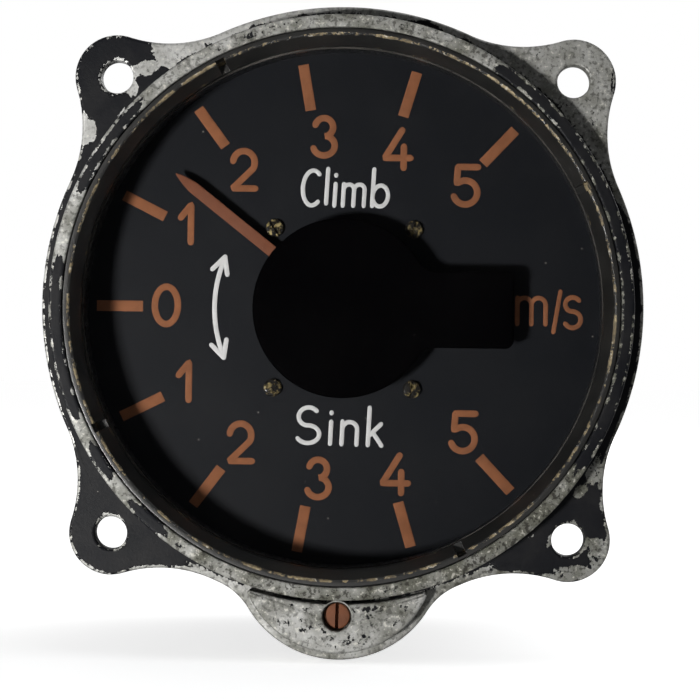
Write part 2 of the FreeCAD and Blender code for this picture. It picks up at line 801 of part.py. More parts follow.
def make_pointer():
    pointer = new_body("pointer")
    sketch = sketch_on(pointer, "pointer_outline", "XZ_Plane", "pointer_front")
    shoulder = "-(pointer_tip - pointer_point)"
    half = "pointer_tip_width / 2"
    root = "pointer_root_width / 2"
    add_outline(sketch, [
        ("-pointer_tip", "0"), (shoulder, half), ("0", root), ("pointer_tail", "pointer_root_width"),
        ("pointer_tail", "-pointer_root_width"), ("0", f"-{root}"), (shoulder, f"-{half}"),
    ])
    pad(pointer, sketch, "pointer_thick", "pointer_blade")
    pad_circles(
        pointer, "pointer_eye", [("0", "0")], "pointer_hub_radius", "pointer_front", "pointer_back",
    )
    cut_circles(
        pointer, "pointer_eye_bore", [("0", "0")], "spindle_radius", "pointer_front", "pointer_back",
    )

    hub = new_body("pointer_boss")
    ring(
        hub, "boss", "spindle_radius", "pointer_hub_radius", "pointer_back",
        "pointer_back + pointer_hub_length",
    )

    spindle = new_body("pointer_spindle")
    pad_circles(
        spindle, "spindle", [("0", "0")], "spindle_radius",
        "pointer_front - spindle_front_reach", "back_plate_back",
    )

    collet = new_body("hairspring_collet")
    ring(
        collet, "collet", "spindle_radius", "collet_radius", "front_plate_back + end_room",
        "front_plate_back + end_room + collet_length",
    )
    for piece in (pointer, hub, spindle, collet):
        set_place(piece, axis=ALONG_Y, angle="rest_swing")


# Gears

def gear_teeth(body, name, pitch_radius, front, back, count, shown, angle):
    """One straight-flanked tooth on +X at the pitch circle, repeated about Y."""
    sketch = sketch_on(body, name + "_outline", "XZ_Plane", front)
    pitch = "tooth_size * pi"
    foot = f"{pitch} * (tooth_share * 2 - tooth_top_share) / 2"
    top = f"{pitch} * tooth_top_share / 2"
    inner, outer = f"{pitch_radius} - tooth_drop - tooth_sink", f"{pitch_radius} + tooth_rise"
    add_outline(sketch, [(inner, f"-({foot})"), (outer, f"-({top})"), (outer, top), (inner, foot)])
    tooth = pad(body, sketch, f"({back}) - ({front})", name)
    if number(shown) > 1:
        repeat(body, tooth, shown, angle)
    return tooth


def make_spindle_pinion():
    pinion = new_body("spindle_pinion")
    front, back = "sector_depth - pinion_overhang", "sector_back + pinion_overhang"
    ring(pinion, "pinion_core", "spindle_radius", "pinion_pitch_radius - tooth_drop", front, back)
    gear_teeth(
        pinion, "pinion_tooth", "pinion_pitch_radius", front, back,
        "pinion_teeth", "pinion_teeth", "360",
    )
    # A gap, half a tooth away from +X, faces the sector when the reading is zero
    set_place(
        pinion, axis=ALONG_Y, angle="rest_swing - sector_angle + 180 / pinion_teeth",
    )


def polar(along, across, angle):
    """The place that lies along a direction, and aside from it to the left."""
    return (
        f"({along}) * cos({angle}) - ({across}) * sin({angle})",
        f"({along}) * sin({angle}) + ({across}) * cos({angle})",
    )


def add_arc_band(sketch, inner, outer, middle, half):
    """A band between two radii, as wide as twice half, about a middle direction."""
    low, high = (math.radians(number(middle) + s * number(half)) for s in (-1, 1))
    near, far, centre = number(inner), number(outer), math.radians(number(middle))

    def spot(radius, angle):
        return Vector(radius * math.cos(angle), radius * math.sin(angle), 0)

    first = sketch.GeometryCount
    sketch.addGeometry(Part.Arc(spot(far, low), spot(far, centre), spot(far, high)))
    sketch.addGeometry(Part.LineSegment(spot(far, high), spot(near, high)))
    sketch.addGeometry(Part.Arc(spot(near, high), spot(near, centre), spot(near, low)))
    sketch.addGeometry(Part.LineSegment(spot(near, low), spot(far, low)))
    for i in range(first, first + 4):
        sketch.addConstraint(Sketcher.Constraint("Block", i))


def make_sector():
    """The sector, drawn with its first tooth on +X and then turned into mesh."""
    sector = new_body("sector_gear")
    middle = "-sector_spread / 2"
    rim = "sector_pitch_radius - tooth_drop"
    fork_angle = f"180 - sector_angle {middle}"
    pad_circles(sector, "sector_hub", [("0", "0")], "sector_hub_radius", "sector_depth", "sector_back")
    fan = sketch_on(sector, "fan_outline", "XZ_Plane", "sector_depth")
    add_arc_band(fan, "arbor_radius", rim, middle, "(sector_spread + sector_step) / 2")
    pad(sector, fan, "sector_thick", "fan")
    arm = sketch_on(sector, "fork_outline", "XZ_Plane", "sector_depth")
    half = "fork_width / 2"
    corners = [("0", f"-{half}"), ("fork_length", f"-{half}"), ("fork_length", half), ("0", half)]
    add_outline(arm, [polar(along, across, fork_angle) for along, across in corners])
    pad(sector, arm, "sector_thick", "fork_blade")
    gear_teeth(
        sector, "sector_tooth", "sector_pitch_radius", "sector_depth", "sector_back",
        "sector_full_teeth", "sector_cut_teeth", "sector_spread",
    )
    window = sketch_on(sector, "window_outline", "XZ_Plane", "sector_depth")
    add_arc_band(
        window, "sector_hub_radius + sector_spoke", f"{rim} - sector_spoke", middle,
        "sector_spread / 2 - sector_spoke * 2",
    )
    cut(sector, window, "sector_thick", "sector_window")
    slot = sketch_on(sector, "slot_outline", "XZ_Plane", "sector_depth")
    half = "(rod_radius + fork_play)"
    start, end = "fork_arm - rod_radius - fork_play * 2", "fork_length + fork_play"
    corners = [(start, f"-{half}"), (end, f"-{half}"), (end, half), (start, half)]
    add_outline(slot, [polar(along, across, fork_angle) for along, across in corners])
    cut(sector, slot, "sector_thick", "fork_slot")
    cut_circles(sector, "sector_bore", [("0", "0")], "arbor_radius", "sector_depth", "sector_back")

    arbor = new_body("sector_arbor")
    pad_circles(arbor, "arbor", [("0", "0")], "arbor_radius", "front_plate_front", "back_plate_back")

    hub = new_body("sector_hub_collar")
    ring(
        hub, "collar", "arbor_radius", "sector_hub_radius", "sector_back",
        "sector_back + sector_hub_length",
    )
    turned = "-(180 + sector_angle + sector_spread / 2 + rest_sector)"
    for piece in (sector, arbor, hub):
        set_place(piece, "arbor_x", "0", "arbor_z", ALONG_Y, turned)


def make_zero_train():
    """The slotted adjuster below the collar, its pinion, and the gear and shaft it turns."""
    adjuster = new_body("zero_adjuster")
    turn(adjuster, "adjuster", [
        ("0", "adjuster_front"), ("adjuster_head", "adjuster_front"),
        ("adjuster_head", "adjuster_step"), ("adjuster_shaft", "adjuster_step"),
        ("adjuster_shaft", "adjuster_end"), ("0", "adjuster_end"),
    ])
    cut_box(
        adjuster, "driver_slot",
        ("-adjuster_slot / 2", "adjuster_slot / 2", "-adjuster_hole", "adjuster_hole"),
        "adjuster_front", "adjuster_front + adjuster_slot_depth",
    )
    pinion = new_body("adjuster_pinion")
    front, back = "zero_gear_front", "zero_gear_back"
    ring(pinion, "adjuster_core", "adjuster_shaft", "pinion_pitch_radius - tooth_drop", front, back)
    gear_teeth(
        pinion, "adjuster_tooth", "pinion_pitch_radius", front, back,
        "pinion_teeth", "pinion_teeth", "360",
    )
    packing = new_body("adjuster_packing")
    ring(
        packing, "packing", "adjuster_shaft + running_fit", "adjuster_hole",
        "adjuster_step", "packing_back",
    )
    set_place(adjuster, up="-adjuster_drop")
    set_place(packing, up="-adjuster_drop")
    set_place(pinion, up="-adjuster_drop", axis=ALONG_Y, angle="180 / pinion_teeth")

    gear = new_body("zero_gear")
    ring(gear, "zero_disc", "zero_shaft_radius", "zero_pitch_radius - tooth_drop", front, back)
    gear_teeth(
        gear, "zero_tooth", "zero_pitch_radius", front, back,
        "zero_gear_teeth", "zero_gear_teeth", "360",
    )
    shaft = new_body("zero_shaft")
    pad_circles(
        shaft, "shaft", [("0", "0")], "zero_shaft_radius", "zero_gear_front - running_fit",
        "carrier_back + zero_shaft_tail",
    )
    set_place(gear, up="-zero_gear_drop")
    set_place(shaft, up="-zero_gear_drop")


# Movement frame: plates, pillars, screws, bushes, posts and pins

def pillar_places():
    return [
        ("-pillar_x", "pillar_z"), ("-pillar_x", "-pillar_z"), ("pillar_x", "-pillar_z"),
        ("pillar_top_x", "pillar_top_z"),
    ]


def make_plates():
    spindle, arbor = [("0", "0")], [("arbor_x", "arbor_z")]
    zero = [("0", "-zero_gear_drop")]
    windows = [("-plate_window_x", "0"), ("0", "-plate_window_z")]
    plates = (
        ("front", "bore_radius - side_clearance", "front_plate_front", "front_plate_back"),
        ("back", "plate_radius", "back_plate_front", "back_plate_back"),
    )
    for side, radius, front, back in plates:
        plate = new_body(f"{side}_plate")
        pad_circles(plate, f"{side}_disc", spindle, radius, front, back)
        cut_circles(plate, f"{side}_bush_holes", spindle + arbor, "bush_radius", front, back)
        cut_circles(plate, f"{side}_zero_hole", zero, "zero_shaft_radius + running_fit", front, back)
        cut_circles(plate, f"{side}_windows", windows, "plate_window", front, back)
        if side == "front":
            cut_circles(plate, "screw_holes", plate_screw_places(), "screw_shank", front, back)
            cut_circles(plate, "post_seats", cover_post_places(), "cover_post_radius", front, back)
        else:
            cut_circles(plate, "pillar_holes", pillar_places(), "screw_shank", front, back)
            reach = "rod_radius + fork_play * 2"
            box = (
                f"fork_x - ({reach})", f"fork_x + ({reach})",
                "rocker_height - rocker_collar_radius", "rocker_height + rocker_collar_radius",
            )
            cut_box(plate, "rod_slot", box, front, back)
        for name, place, pin in (
            ("spindle", spindle, "spindle_radius"), ("sector", arbor, "arbor_radius"),
        ):
            bush = new_body(f"{side}_{name}_bush")
            pad_circles(bush, f"{side}_{name}_bush_disc", place, "bush_radius", front, back)
            cut_circles(bush, f"{side}_{name}_bush_bore", place, f"{pin} + running_fit", front, back)

    pillars = new_body("pillars", several=True)
    pad_circles(
        pillars, "columns", pillar_places(), "pillar_radius", "front_plate_back", "back_plate_front",
    )
    cut_circles(
        pillars, "column_holes", pillar_places(), "screw_shank",
        "back_plate_front - plate_spacing / 2", "back_plate_front",
    )
    make_screws(
        "pillar_screws", pillar_places(), "back_plate_back", "back_plate_back + screw_head_height",
        "back_plate_front - plate_spacing / 2 + end_room", "back_plate_back",
        slot_start="back_plate_back + screw_head_height / 2",
    )
    make_screws(
        "front_plate_screws", plate_screw_places(), "front_plate_front - screw_head_height",
        "front_plate_front", "front_plate_front", "ledge_back - end_room",
        slot_start="front_plate_front - screw_head_height",
    )

    stops = new_body("sector_stop_pins", several=True)
    places = []
    for sign in ("", "-"):
        across, up = polar("stop_reach", "0", f"{sign}stop_angle")
        places.append((f"arbor_x + {across}", f"arbor_z + {up}"))
    pad_circles(
        stops, "stops", places, "stop_pin_radius", "front_plate_back", "sector_back + sector_hub_length",
    )


def make_screws(label, places, head_front, head_back, shank_front, shank_back, slot_start):
    screws = new_body(label, several=True)
    pad_circles(screws, label + "_heads", places, "screw_head", head_front, head_back)
    pad_circles(screws, label + "_shanks", places, "screw_shank", shank_front, shank_back)
    cut_slots(
        screws, label + "_slots", places, "screw_head", "dial_screw_slot", slot_start,
        "screw_head_height / 2",
    )


def make_hairspring():
    """A flat spiral of half circles, upper ones about the spindle, lower ones moved aside."""
    start, pitch = number("hairspring_start"), number("hairspring_pitch")
    half_thick = number("hairspring_thick") / 2
    sides = {1: [], -1: []}
    for side, arcs in sides.items():
        for k in range(2 * int(number("hairspring_turns"))):
            upper = k % 2 == 0
            centre = 0 if upper else pitch / 2
            radius = start + k * pitch / 2 + side * half_thick
            ends = [Vector(centre + s * radius, 0, 0) for s in ((1, -1) if upper else (-1, 1))]
            crest = Vector(centre, 0, radius if upper else -radius)
            arcs.append(Part.Arc(ends[0], crest, ends[1]).toShape())
    last = {side: arcs[-1].Vertexes[1].Point for side, arcs in sides.items()}
    first = {side: arcs[0].Vertexes[0].Point for side, arcs in sides.items()}
    caps = [Part.LineSegment(p[1], p[-1]).toShape() for p in (last, first)]
    wire = Part.Wire(Part.__sortEdges__(sides[1] + sides[-1] + caps))
    spring = doc.addObject("Part::Feature", "hairspring")
    spring.Label = "hairspring"
    spring.Shape = Part.Face(wire).extrude(ALONG_Y * number("hairspring_height"))
    middle = "front_plate_back + end_room + (collet_length - hairspring_height) / 2"
    spring.Placement = Placement(ALONG_Y * number(middle), Rotation())

    stud = new_body("hairspring_stud")
    place = [("hairspring_end + hairspring_thick / 2 + hairspring_stud", "0")]
    pad_circles(
        stud, "stud", place, "hairspring_stud", "front_plate_back",
        "front_plate_back + end_room + collet_length",
    )


# Rocking shaft: it turns the capsule's push into the sector's swing

def make_rocker():
    shaft = new_body("rocking_shaft")
    left = "-(rocker_left + bracket_thick / 2 + end_room)"
    right = "fork_x + bracket_gap + bracket_thick / 2 + end_room"
    pad_circles(shaft, "rocker", [("0", "0")], "rocker_radius", left, right, plane="YZ_Plane")

    fork_arm = new_body("rocker_fork_arm")
    half = "rocker_collar_width / 2"
    collar = ("fork_x - " + half, "fork_x + " + half)
    pad_circles(
        fork_arm, "fork_collar", [("0", "0")], "rocker_collar_radius", *collar, plane="YZ_Plane",
    )
    pad_circles(
        fork_arm, "rod", [("fork_x", "0")], "rod_radius",
        "-(rod_length + sector_thick)", "-rocker_radius",
    )
    cut_circles(fork_arm, "fork_collar_bore", [("0", "0")], "rocker_radius", *collar, plane="YZ_Plane")

    link_arm = new_body("rocker_link_arm")
    half = "rocker_arm_thick / 2"
    sides = ("-" + half, half)
    pad_circles(
        link_arm, "arm_collar", [("0", "0")], "rocker_collar_radius", *sides, plane="YZ_Plane",
    )
    width = "rocker_arm_width / 2"
    pad_box(
        link_arm, "arm_blade", (f"-{width}", width, "-arm_drop", "0"), *sides, plane="YZ_Plane",
    )
    pad_circles(link_arm, "arm_eye", [("0", "-arm_drop")], width, *sides, plane="YZ_Plane")
    cut_circles(link_arm, "arm_collar_bore", [("0", "0")], "rocker_radius", *sides, plane="YZ_Plane")
    cut_circles(
        link_arm, "arm_pin_hole", [("0", "-arm_drop")], "link_pin_radius", *sides, plane="YZ_Plane",
    )

    pin = new_body("link_pin")
    pad_circles(
        pin, "pin", [("0", "-arm_drop")], "link_pin_radius", "-" + half,
        "link_offset + link_thick + link_pin_end", plane="YZ_Plane",
    )
    for piece in (shaft, fork_arm, link_arm, pin):
        set_place(piece, "0", "rocker_depth", "rocker_height", ALONG_X, "-rest_rocker")

    brackets = new_body("rocking_shaft_brackets", several=True)
    half, width = "bracket_thick / 2", "bracket_width / 2"
    end = "rocker_depth + rocker_collar_radius"
    for name, middle in (("left", "-rocker_left"), ("right", "fork_x + bracket_gap")):
        box = (
            f"{middle} - {half}", f"{middle} + {half}",
            f"rocker_height - {width}", f"rocker_height + {width}",
        )
        pad_box(brackets, name + "_bracket", box, "back_plate_back", end)
    cut_circles(
        brackets, "bracket_bores", [("rocker_depth", "rocker_height")], "rocker_radius + running_fit",
        left, right, plane="YZ_Plane",
    )

    link = new_body("link")
    sides = ("link_offset", "link_offset + link_thick")
    width = "link_width / 2"
    pad_box(link, "link_blade", ("0", "link_length", f"-{width}", width), *sides, plane="YZ_Plane")
    pad_circles(
        link, "link_ends", [("0", "0"), ("link_length", "0")], width, *sides, plane="YZ_Plane",
    )
    cut_circles(
        link, "link_eye", [("0", "0")], "link_pin_radius + running_fit", *sides, plane="YZ_Plane",
    )
    along, across = "link_pin_radius + link_play_along", "link_pin_radius + link_play_across"
    slot = (
        f"link_length - ({along})", f"link_length + ({along})", f"-({across})", across,
    )
    cut_box(link, "link_slot", slot, *sides, plane="YZ_Plane")
    set_place(link, "0", "rest_arm_depth", "rest_arm_height")


# Capsule on its tilting carrier

def capsule_half_profile(centre_hole, mirrored):
    """Points of one corrugated half: a wavy sheet out to a flat rim, and back inside it."""
    count = 2 * int(number("capsule_waves"))
    shoulder = "(capsule_radius - capsule_rim - capsule_flat)"
    rim = "capsule_radius - capsule_rim"
    outer = [(centre_hole, "0"), ("stud_radius + stud_clearance", "0")]
    step = f"({shoulder} - stud_radius - stud_clearance) / {count}"
    for i in range(1, count + 1):
        outer.append((f"stud_radius + stud_clearance + {step} * {i}", f"capsule_wave * {i % 2}"))
    if centre_hole == "stud_radius + stud_clearance":
        outer = outer[1:]
    outer.append((rim, "capsule_half - capsule_sheet"))
    edge = [("capsule_radius", "capsule_half - capsule_sheet"), ("capsule_radius", "capsule_half")]
    inner = [(rim, "capsule_half")] + [(r, f"{y} + capsule_sheet") for r, y in reversed(outer[:-1])]
    points = outer + edge + inner
    if mirrored:
        return [(r, f"capsule_back - ({y})") for r, y in points]
    return [(r, f"capsule_depth + {y}") for r, y in points]


def make_capsule():
    front = new_body("capsule_front_half")
    turn(front, "front_sheet", capsule_half_profile("stud_radius + stud_clearance", False))
    rear = new_body("capsule_rear_half")
    turn(rear, "rear_sheet", capsule_half_profile("base_bore_radius", True))

    base = new_body("capsule_base")
    turn(base, "base", [
        ("base_bore_radius", "capsule_back"), ("capsule_base_radius", "capsule_back"),
        ("capsule_base_radius", "carrier_front"), ("base_neck_radius", "carrier_front"),
        ("base_neck_radius", "base_neck_back"), ("base_bore_radius", "base_neck_back"),
    ])
    nut = new_body("capsule_base_nut")
    make_nut(
        nut, "base_nut", ("0", "0"), "base_nut_size", "base_neck_radius",
        "carrier_back", "carrier_back + base_nut_height",
    )

    stud = new_body("capsule_stud")
    foot_front = "capsule_depth + capsule_sheet - stud_foot"
    post_front = "stud_pin_depth - stud_post_radius"
    turn(stud, "stud_foot_and_post", [
        ("0", post_front), ("stud_post_radius", post_front), ("stud_post_radius", foot_front),
        ("stud_radius", foot_front), ("stud_radius", "capsule_depth + capsule_sheet"),
        ("0", "capsule_depth + capsule_sheet"),
    ])
    pad_circles(
        stud, "stud_pin", [("stud_pin_depth", "0")], "link_pin_radius", "0",
        "link_offset + link_thick + link_pin_end", plane="YZ_Plane",
    )
    set_place(stud, depth="-rest_push")

    carrier = new_body("capsule_carrier")
    half = "carrier_width / 2"
    pad_box(
        carrier, "strip", (f"-{half}", half, "-zero_gear_drop", "hinge_height"),
        "carrier_front", "carrier_back",
    )
    pad_circles(carrier, "pad", [("0", "0")], "carrier_pad_radius", "carrier_front", "carrier_back")
    pad_circles(
        carrier, "lower_eye", [("0", "-zero_gear_drop")], half, "carrier_front", "carrier_back",
    )
    hinge = [("carrier_middle", "hinge_height")]
    sides = ("-hinge_half", "hinge_half")
    pad_circles(carrier, "knuckle", hinge, "hinge_knuckle", *sides, plane="YZ_Plane")
    cut_circles(
        carrier, "knuckle_bore", hinge, "hinge_pin_radius + running_fit", *sides, plane="YZ_Plane",
    )
    cut_circles(carrier, "neck_hole", [("0", "0")], "base_neck_radius", "carrier_front", "carrier_back")
    cut_circles(
        carrier, "zero_hole", [("0", "-zero_gear_drop")], "zero_shaft_radius + zero_thread_fit",
        "carrier_front", "carrier_back",
    )

    posts = new_body("carrier_hinge_posts", several=True)
    inner, outer = "hinge_half + hinge_post_gap", "hinge_half + hinge_post_gap + hinge_post_thick"
    low, high = "hinge_height - hinge_post_width / 2", "hinge_height + hinge_post_width / 2"
    end = "carrier_middle + hinge_post_end"
    pad_box(posts, "left_post", (f"-({outer})", f"-({inner})", low, high), "back_plate_back", end)
    pad_box(posts, "right_post", (inner, outer, low, high), "back_plate_back", end)
    cut_circles(
        posts, "hinge_pin_holes", hinge, "hinge_pin_radius", f"-({outer})", outer, plane="YZ_Plane",
    )
    pin = new_body("carrier_hinge_pin")
    pad_circles(pin, "hinge_pin", hinge, "hinge_pin_radius", f"-({outer})", outer, plane="YZ_Plane")


def make_nut(body, name, place, size, bore, front, back):
    """A hexagon nut about a place; size is its corner radius."""
    across, up = place
    sketch = sketch_on(body, name + "_outline", "XZ_Plane", front)
    add_outline(sketch, [
        (f"{across} + {size} * cos({60 * i})", f"{up} + {size} * sin({60 * i})") for i in range(6)
    ])
    pad(body, sketch, f"({back}) - ({front})", name)
    cut_circles(body, name + "_bore", [place], bore, front, back)


# Rear cover, unions and the pipe to the capsule

def make_rear():
    places = both_signs("screw_post_place", "screw_post_place")
    unions = [("-union_x", "0"), ("union_x", "0")]
    gasket = new_body("rear_gasket")
    ring(
        gasket, "rear_gasket_ring", "bore_radius + side_clearance", "barrel_radius - side_clearance",
        "barrel_length", "cover_front_face",
    )
    cover = new_body("rear_cover")
    turn(cover, "cover_disc", [
        ("0", "cover_front_face - spigot_height"),
        ("bore_radius - spigot_clearance", "cover_front_face - spigot_height"),
        ("bore_radius - spigot_clearance", "cover_front_face"),
        ("barrel_radius", "cover_front_face"),
        ("barrel_radius", "cover_rear_face - rear_cover_edge"),
        ("barrel_radius - rear_cover_edge", "cover_rear_face"), ("0", "cover_rear_face"),
    ])
    depths = ("cover_front_face - spigot_height", "cover_rear_face")
    cut_circles(cover, "cover_screw_holes", places, "cover_screw_shank + running_fit", *depths)
    cut_circles(cover, "union_holes", unions, "union_tail_radius", *depths)

    screws = new_body("rear_cover_screws", several=True)
    head_back = "cover_rear_face + cover_screw_height"
    pad_circles(screws, "cover_heads", places, "cover_screw_head", "cover_rear_face", head_back)
    pad_circles(
        screws, "cover_shanks", places, "cover_screw_shank",
        "screw_post_back - cover_screw_length + end_room", "cover_rear_face",
    )
    cut_slots(
        screws, "cover_slots", places, "cover_screw_head", "cover_screw_slot",
        "cover_rear_face + cover_screw_height / 2", "cover_screw_height / 2",
    )

    washers = new_body("union_washers", several=True)
    pad_circles(washers, "washer_discs", unions, "union_hex", "cover_rear_face", "washer_back")
    cut_circles(
        washers, "washer_bores", unions, "union_tail_radius", "cover_rear_face", "washer_back",
    )
    nuts = new_body("union_nuts", several=True)
    for side, place in zip(("static", "flask"), unions):
        make_nut(
            nuts, side + "_nut", place, "union_nut_size", "union_tail_radius", "nut_front",
            "nut_front + union_nut_length",
        )
        union = new_body(side + "_union")
        turn(union, side + "_pipe", [
            ("union_bore", "tail_front"), ("union_tail_radius", "tail_front"),
            ("union_tail_radius", "washer_back"), ("union_radius", "washer_back"),
            ("union_radius", "union_end - union_chamfer"),
            ("union_radius - union_chamfer", "union_end"), ("union_bore", "union_end"),
        ])
        make_nut(union, side + "_hex", ("0", "0"), "union_hex", "union_bore", "washer_back", "hex_back")
        set_place(union, across=place[0])

    make_inner_pipe()


def make_inner_pipe():
    """The bent pipe from the flask union to the capsule's neck, and the capillary on it."""
    pipe = new_body("inner_pipe")
    route = sketch_on(pipe, "pipe_route", "XY_Plane")
    x, run, bend = number("union_x"), number("pipe_run"), number("pipe_bend")
    start, end = number("tail_front + pipe_insert"), number("base_neck_back - pipe_insert")
    slant = bend * (1 - math.sqrt(0.5))
    steps = [
        Part.LineSegment(Vector(x, start, 0), Vector(x, run + bend, 0)),
        Part.Arc(Vector(x, run + bend, 0), Vector(x - slant, run + slant, 0), Vector(x - bend, run, 0)),
        Part.LineSegment(Vector(x - bend, run, 0), Vector(bend, run, 0)),
        Part.Arc(Vector(bend, run, 0), Vector(slant, run - slant, 0), Vector(0, run - bend, 0)),
        Part.LineSegment(Vector(0, run - bend, 0), Vector(0, end, 0)),
    ]
    for step in steps:
        route.addGeometry(step)
    for i in range(len(steps)):
        route.addConstraint(Sketcher.Constraint("Block", i))
    mouth = sketch_on(pipe, "pipe_mouth", "XZ_Plane", "tail_front + pipe_insert")
    add_circle(mouth, "union_x", "0", "pipe_radius")
    add_circle(mouth, "union_x", "0", "pipe_radius - pipe_wall")
    doc.recompute()
    swept = pipe.newObject("PartDesign::AdditivePipe", "pipe_sweep")
    swept.Profile = mouth
    swept.Spine = (route, [f"Edge{i}" for i in range(1, len(steps) + 1)])

    tube = new_body("capillary_tube")
    root = [("capillary_x", "pipe_run")]
    pad_circles(
        tube, "saddle", root, "saddle_radius", "pipe_radius", "pipe_radius + saddle_length",
        plane="XY_Plane",
    )
    pad_circles(
        tube, "capillary", root, "capillary_radius", "pipe_radius + saddle_length",
        "pipe_radius + capillary_length", plane="XY_Plane",
    )


def check_model():
    """Raise where a feature has failed or a sub-part has no valid solid."""
    pieces = []
    for thing in doc.Objects:
        if "Invalid" in thing.State or "Error" in thing.State:
            raise RuntimeError(f"{thing.Name} failed: {thing.State}")
        if thing.TypeId in ("PartDesign::Body", "Part::Feature"):
            if thing.Shape.isNull() or not thing.Shape.isValid() or not thing.Shape.Solids:
                raise RuntimeError(f"{thing.Label} has no valid solid")
            pieces.append(thing)
    return pieces


def main():
    fill_sheet()
    make_case_body()
    make_front_rings()
    make_dial()
    make_pointer_cover()
    make_pointer()
    make_spindle_pinion()
    make_sector()
    make_zero_train()
    make_plates()
    make_hairspring()
    make_rocker()
    make_capsule()
    make_rear()
    doc.recompute()
    pieces = check_model()
    os.makedirs("parts", exist_ok=True)
    for piece in pieces:
        piece.Shape.exportStep(f"parts/{piece.Label}.step")
    print(len(pieces), "sub-parts")


main()
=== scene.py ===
import json
import math

import bmesh
import bpy
import numpy as np
from bpy.props import FloatProperty, FloatVectorProperty, PointerProperty
from bpy.types import NodeSocket, Operator, Panel, PropertyGroup
from mathutils import Matrix, Vector


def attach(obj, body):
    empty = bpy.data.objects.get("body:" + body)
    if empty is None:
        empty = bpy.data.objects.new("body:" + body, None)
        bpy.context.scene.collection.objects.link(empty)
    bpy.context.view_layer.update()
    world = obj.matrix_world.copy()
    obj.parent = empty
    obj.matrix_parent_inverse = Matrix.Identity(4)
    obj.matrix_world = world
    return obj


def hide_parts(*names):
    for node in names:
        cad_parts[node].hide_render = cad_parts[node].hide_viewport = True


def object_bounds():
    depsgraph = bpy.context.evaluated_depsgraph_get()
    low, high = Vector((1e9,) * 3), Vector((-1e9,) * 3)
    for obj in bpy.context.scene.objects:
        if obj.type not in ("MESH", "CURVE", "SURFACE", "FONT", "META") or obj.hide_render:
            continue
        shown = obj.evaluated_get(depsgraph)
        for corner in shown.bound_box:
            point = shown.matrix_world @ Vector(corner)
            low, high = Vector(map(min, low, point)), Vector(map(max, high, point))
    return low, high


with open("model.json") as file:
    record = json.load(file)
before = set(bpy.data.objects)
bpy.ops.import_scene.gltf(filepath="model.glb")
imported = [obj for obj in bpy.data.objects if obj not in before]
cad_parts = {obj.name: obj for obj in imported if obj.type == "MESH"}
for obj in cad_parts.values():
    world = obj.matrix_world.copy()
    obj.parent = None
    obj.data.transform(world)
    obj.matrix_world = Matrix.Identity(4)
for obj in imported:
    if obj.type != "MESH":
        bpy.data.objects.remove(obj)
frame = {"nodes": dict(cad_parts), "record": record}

# Visual model of a round vertical speed indicator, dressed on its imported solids.
# Lengths are in millimetres here, and become metres as a piece is made.
# The dial faces -Y, +X is to the right seen from the front, and +Z is up.

bl_info = {
    "name": "Vertical speed indicator",
    "version": (1, 0, 0),
    "blender": (4, 5, 0),
    "location": "View3D > Sidebar > Instrument",
    "description": "Builds a worn panel vertical speed indicator, piece by piece",
    "category": "Add Mesh",
}

CAD_BOX = [list(corner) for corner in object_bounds()]
NODES = frame["nodes"]
MM = 0.001
WELD = 0.000002
SHARP = math.radians(38)

# Case and flange
FLANGE_RADIUS, FLANGE_THICK = 41.48, 3.2
HOLE_PLACE, HOLE_RADIUS, HOLE_BEVEL = 31.5, 2.25, 0.3
EAR_RADIUS, EAR_BLEND = 5.8, 18.0
EAR_ANGLES = (45, 135, 225, 315)
LUG_DROP, LUG_RADIUS, LUG_BLEND, LUG_COUNTS = 34.0, 14.5, 9.0, (120, 90)
BOSS_RADIUS, BOSS_FRONT, BOSS_BACK, BOSS_INNER = 13.35, -2.6, 1.0, 40.6
COLLAR_RADIUS, COLLAR_FRONT, COLLAR_BACK = 40.0, -4.0, 1.6
SEAT_RADIUS, SEAT_DEPTH = 38.2, 1.9
BARREL_RADIUS, BORE_RADIUS, BARREL_BACK = 39.5, 37.3, 66.0
LEDGE_RADIUS, LEDGE_FRONT, LEDGE_BACK = 34.0, 12.5, 15.5
HOUSE_RADIUS, HOUSE_BACK = 13.6, 14.5
# Where the case's paint is worn off, or has stayed on: spans in degrees, and oval patches
BARE_COLLAR = ((58, 135), (157, 170), (203, 210), (217, 224), (233, 326))
BARE_FLANGE = ((20, 72), (76, 122), (240, 301))
BARE_PATCHES = (
    (-24.0, 35.0, 3.2, 2.6, -20), (-27.2, 32.8, 2.2, 1.2, 15), (-29.2, 29.6, 1.2, 0.8, 70),
    (-20.0, 36.6, 3.5, 1.6, 20), (-30.7, 26.7, 1.0, 0.6, 45), (-35.4, 24.2, 1.3, 2.4, 5),
    (34.6, -20.8, 1.6, 3.4, 10), (33.0, -24.9, 1.3, 0.9, 40), (35.6, -33.4, 1.7, 2.6, 10),
    (32.0, -35.9, 3.0, 1.1, 5), (26.3, -30.9, 0.7, 0.5, 0), (-27.0, -29.2, 0.5, 0.3, 0),
)
KEPT_PATCHES = (
    (-29.5, 36.5, 3.4, 2.0, 15), (-35.6, 32.0, 1.9, 5.4, 0),
    (-32.0, 27.2, 1.6, 1.2, 40), (37.0, 30.5, 0.4, 5.0, 0),
)
# Front rings and glass
RING_OUTER, RING_MOUTH, RING_FRONT = 38.1, 37.3, -3.6
WINDOW_RADIUS, GLASS_FRONT, GLASS_BACK, GLASS_RADIUS = 35.9, -0.5, 1.5, 38.0
RING_LIP, SLOT_FLOOR, SLOT_OUTER, SLOT_HALF = -1.0, -1.0, 37.7, 0.6
SLOT_TURN = 26.9
SPACER_OUTER = 37.2
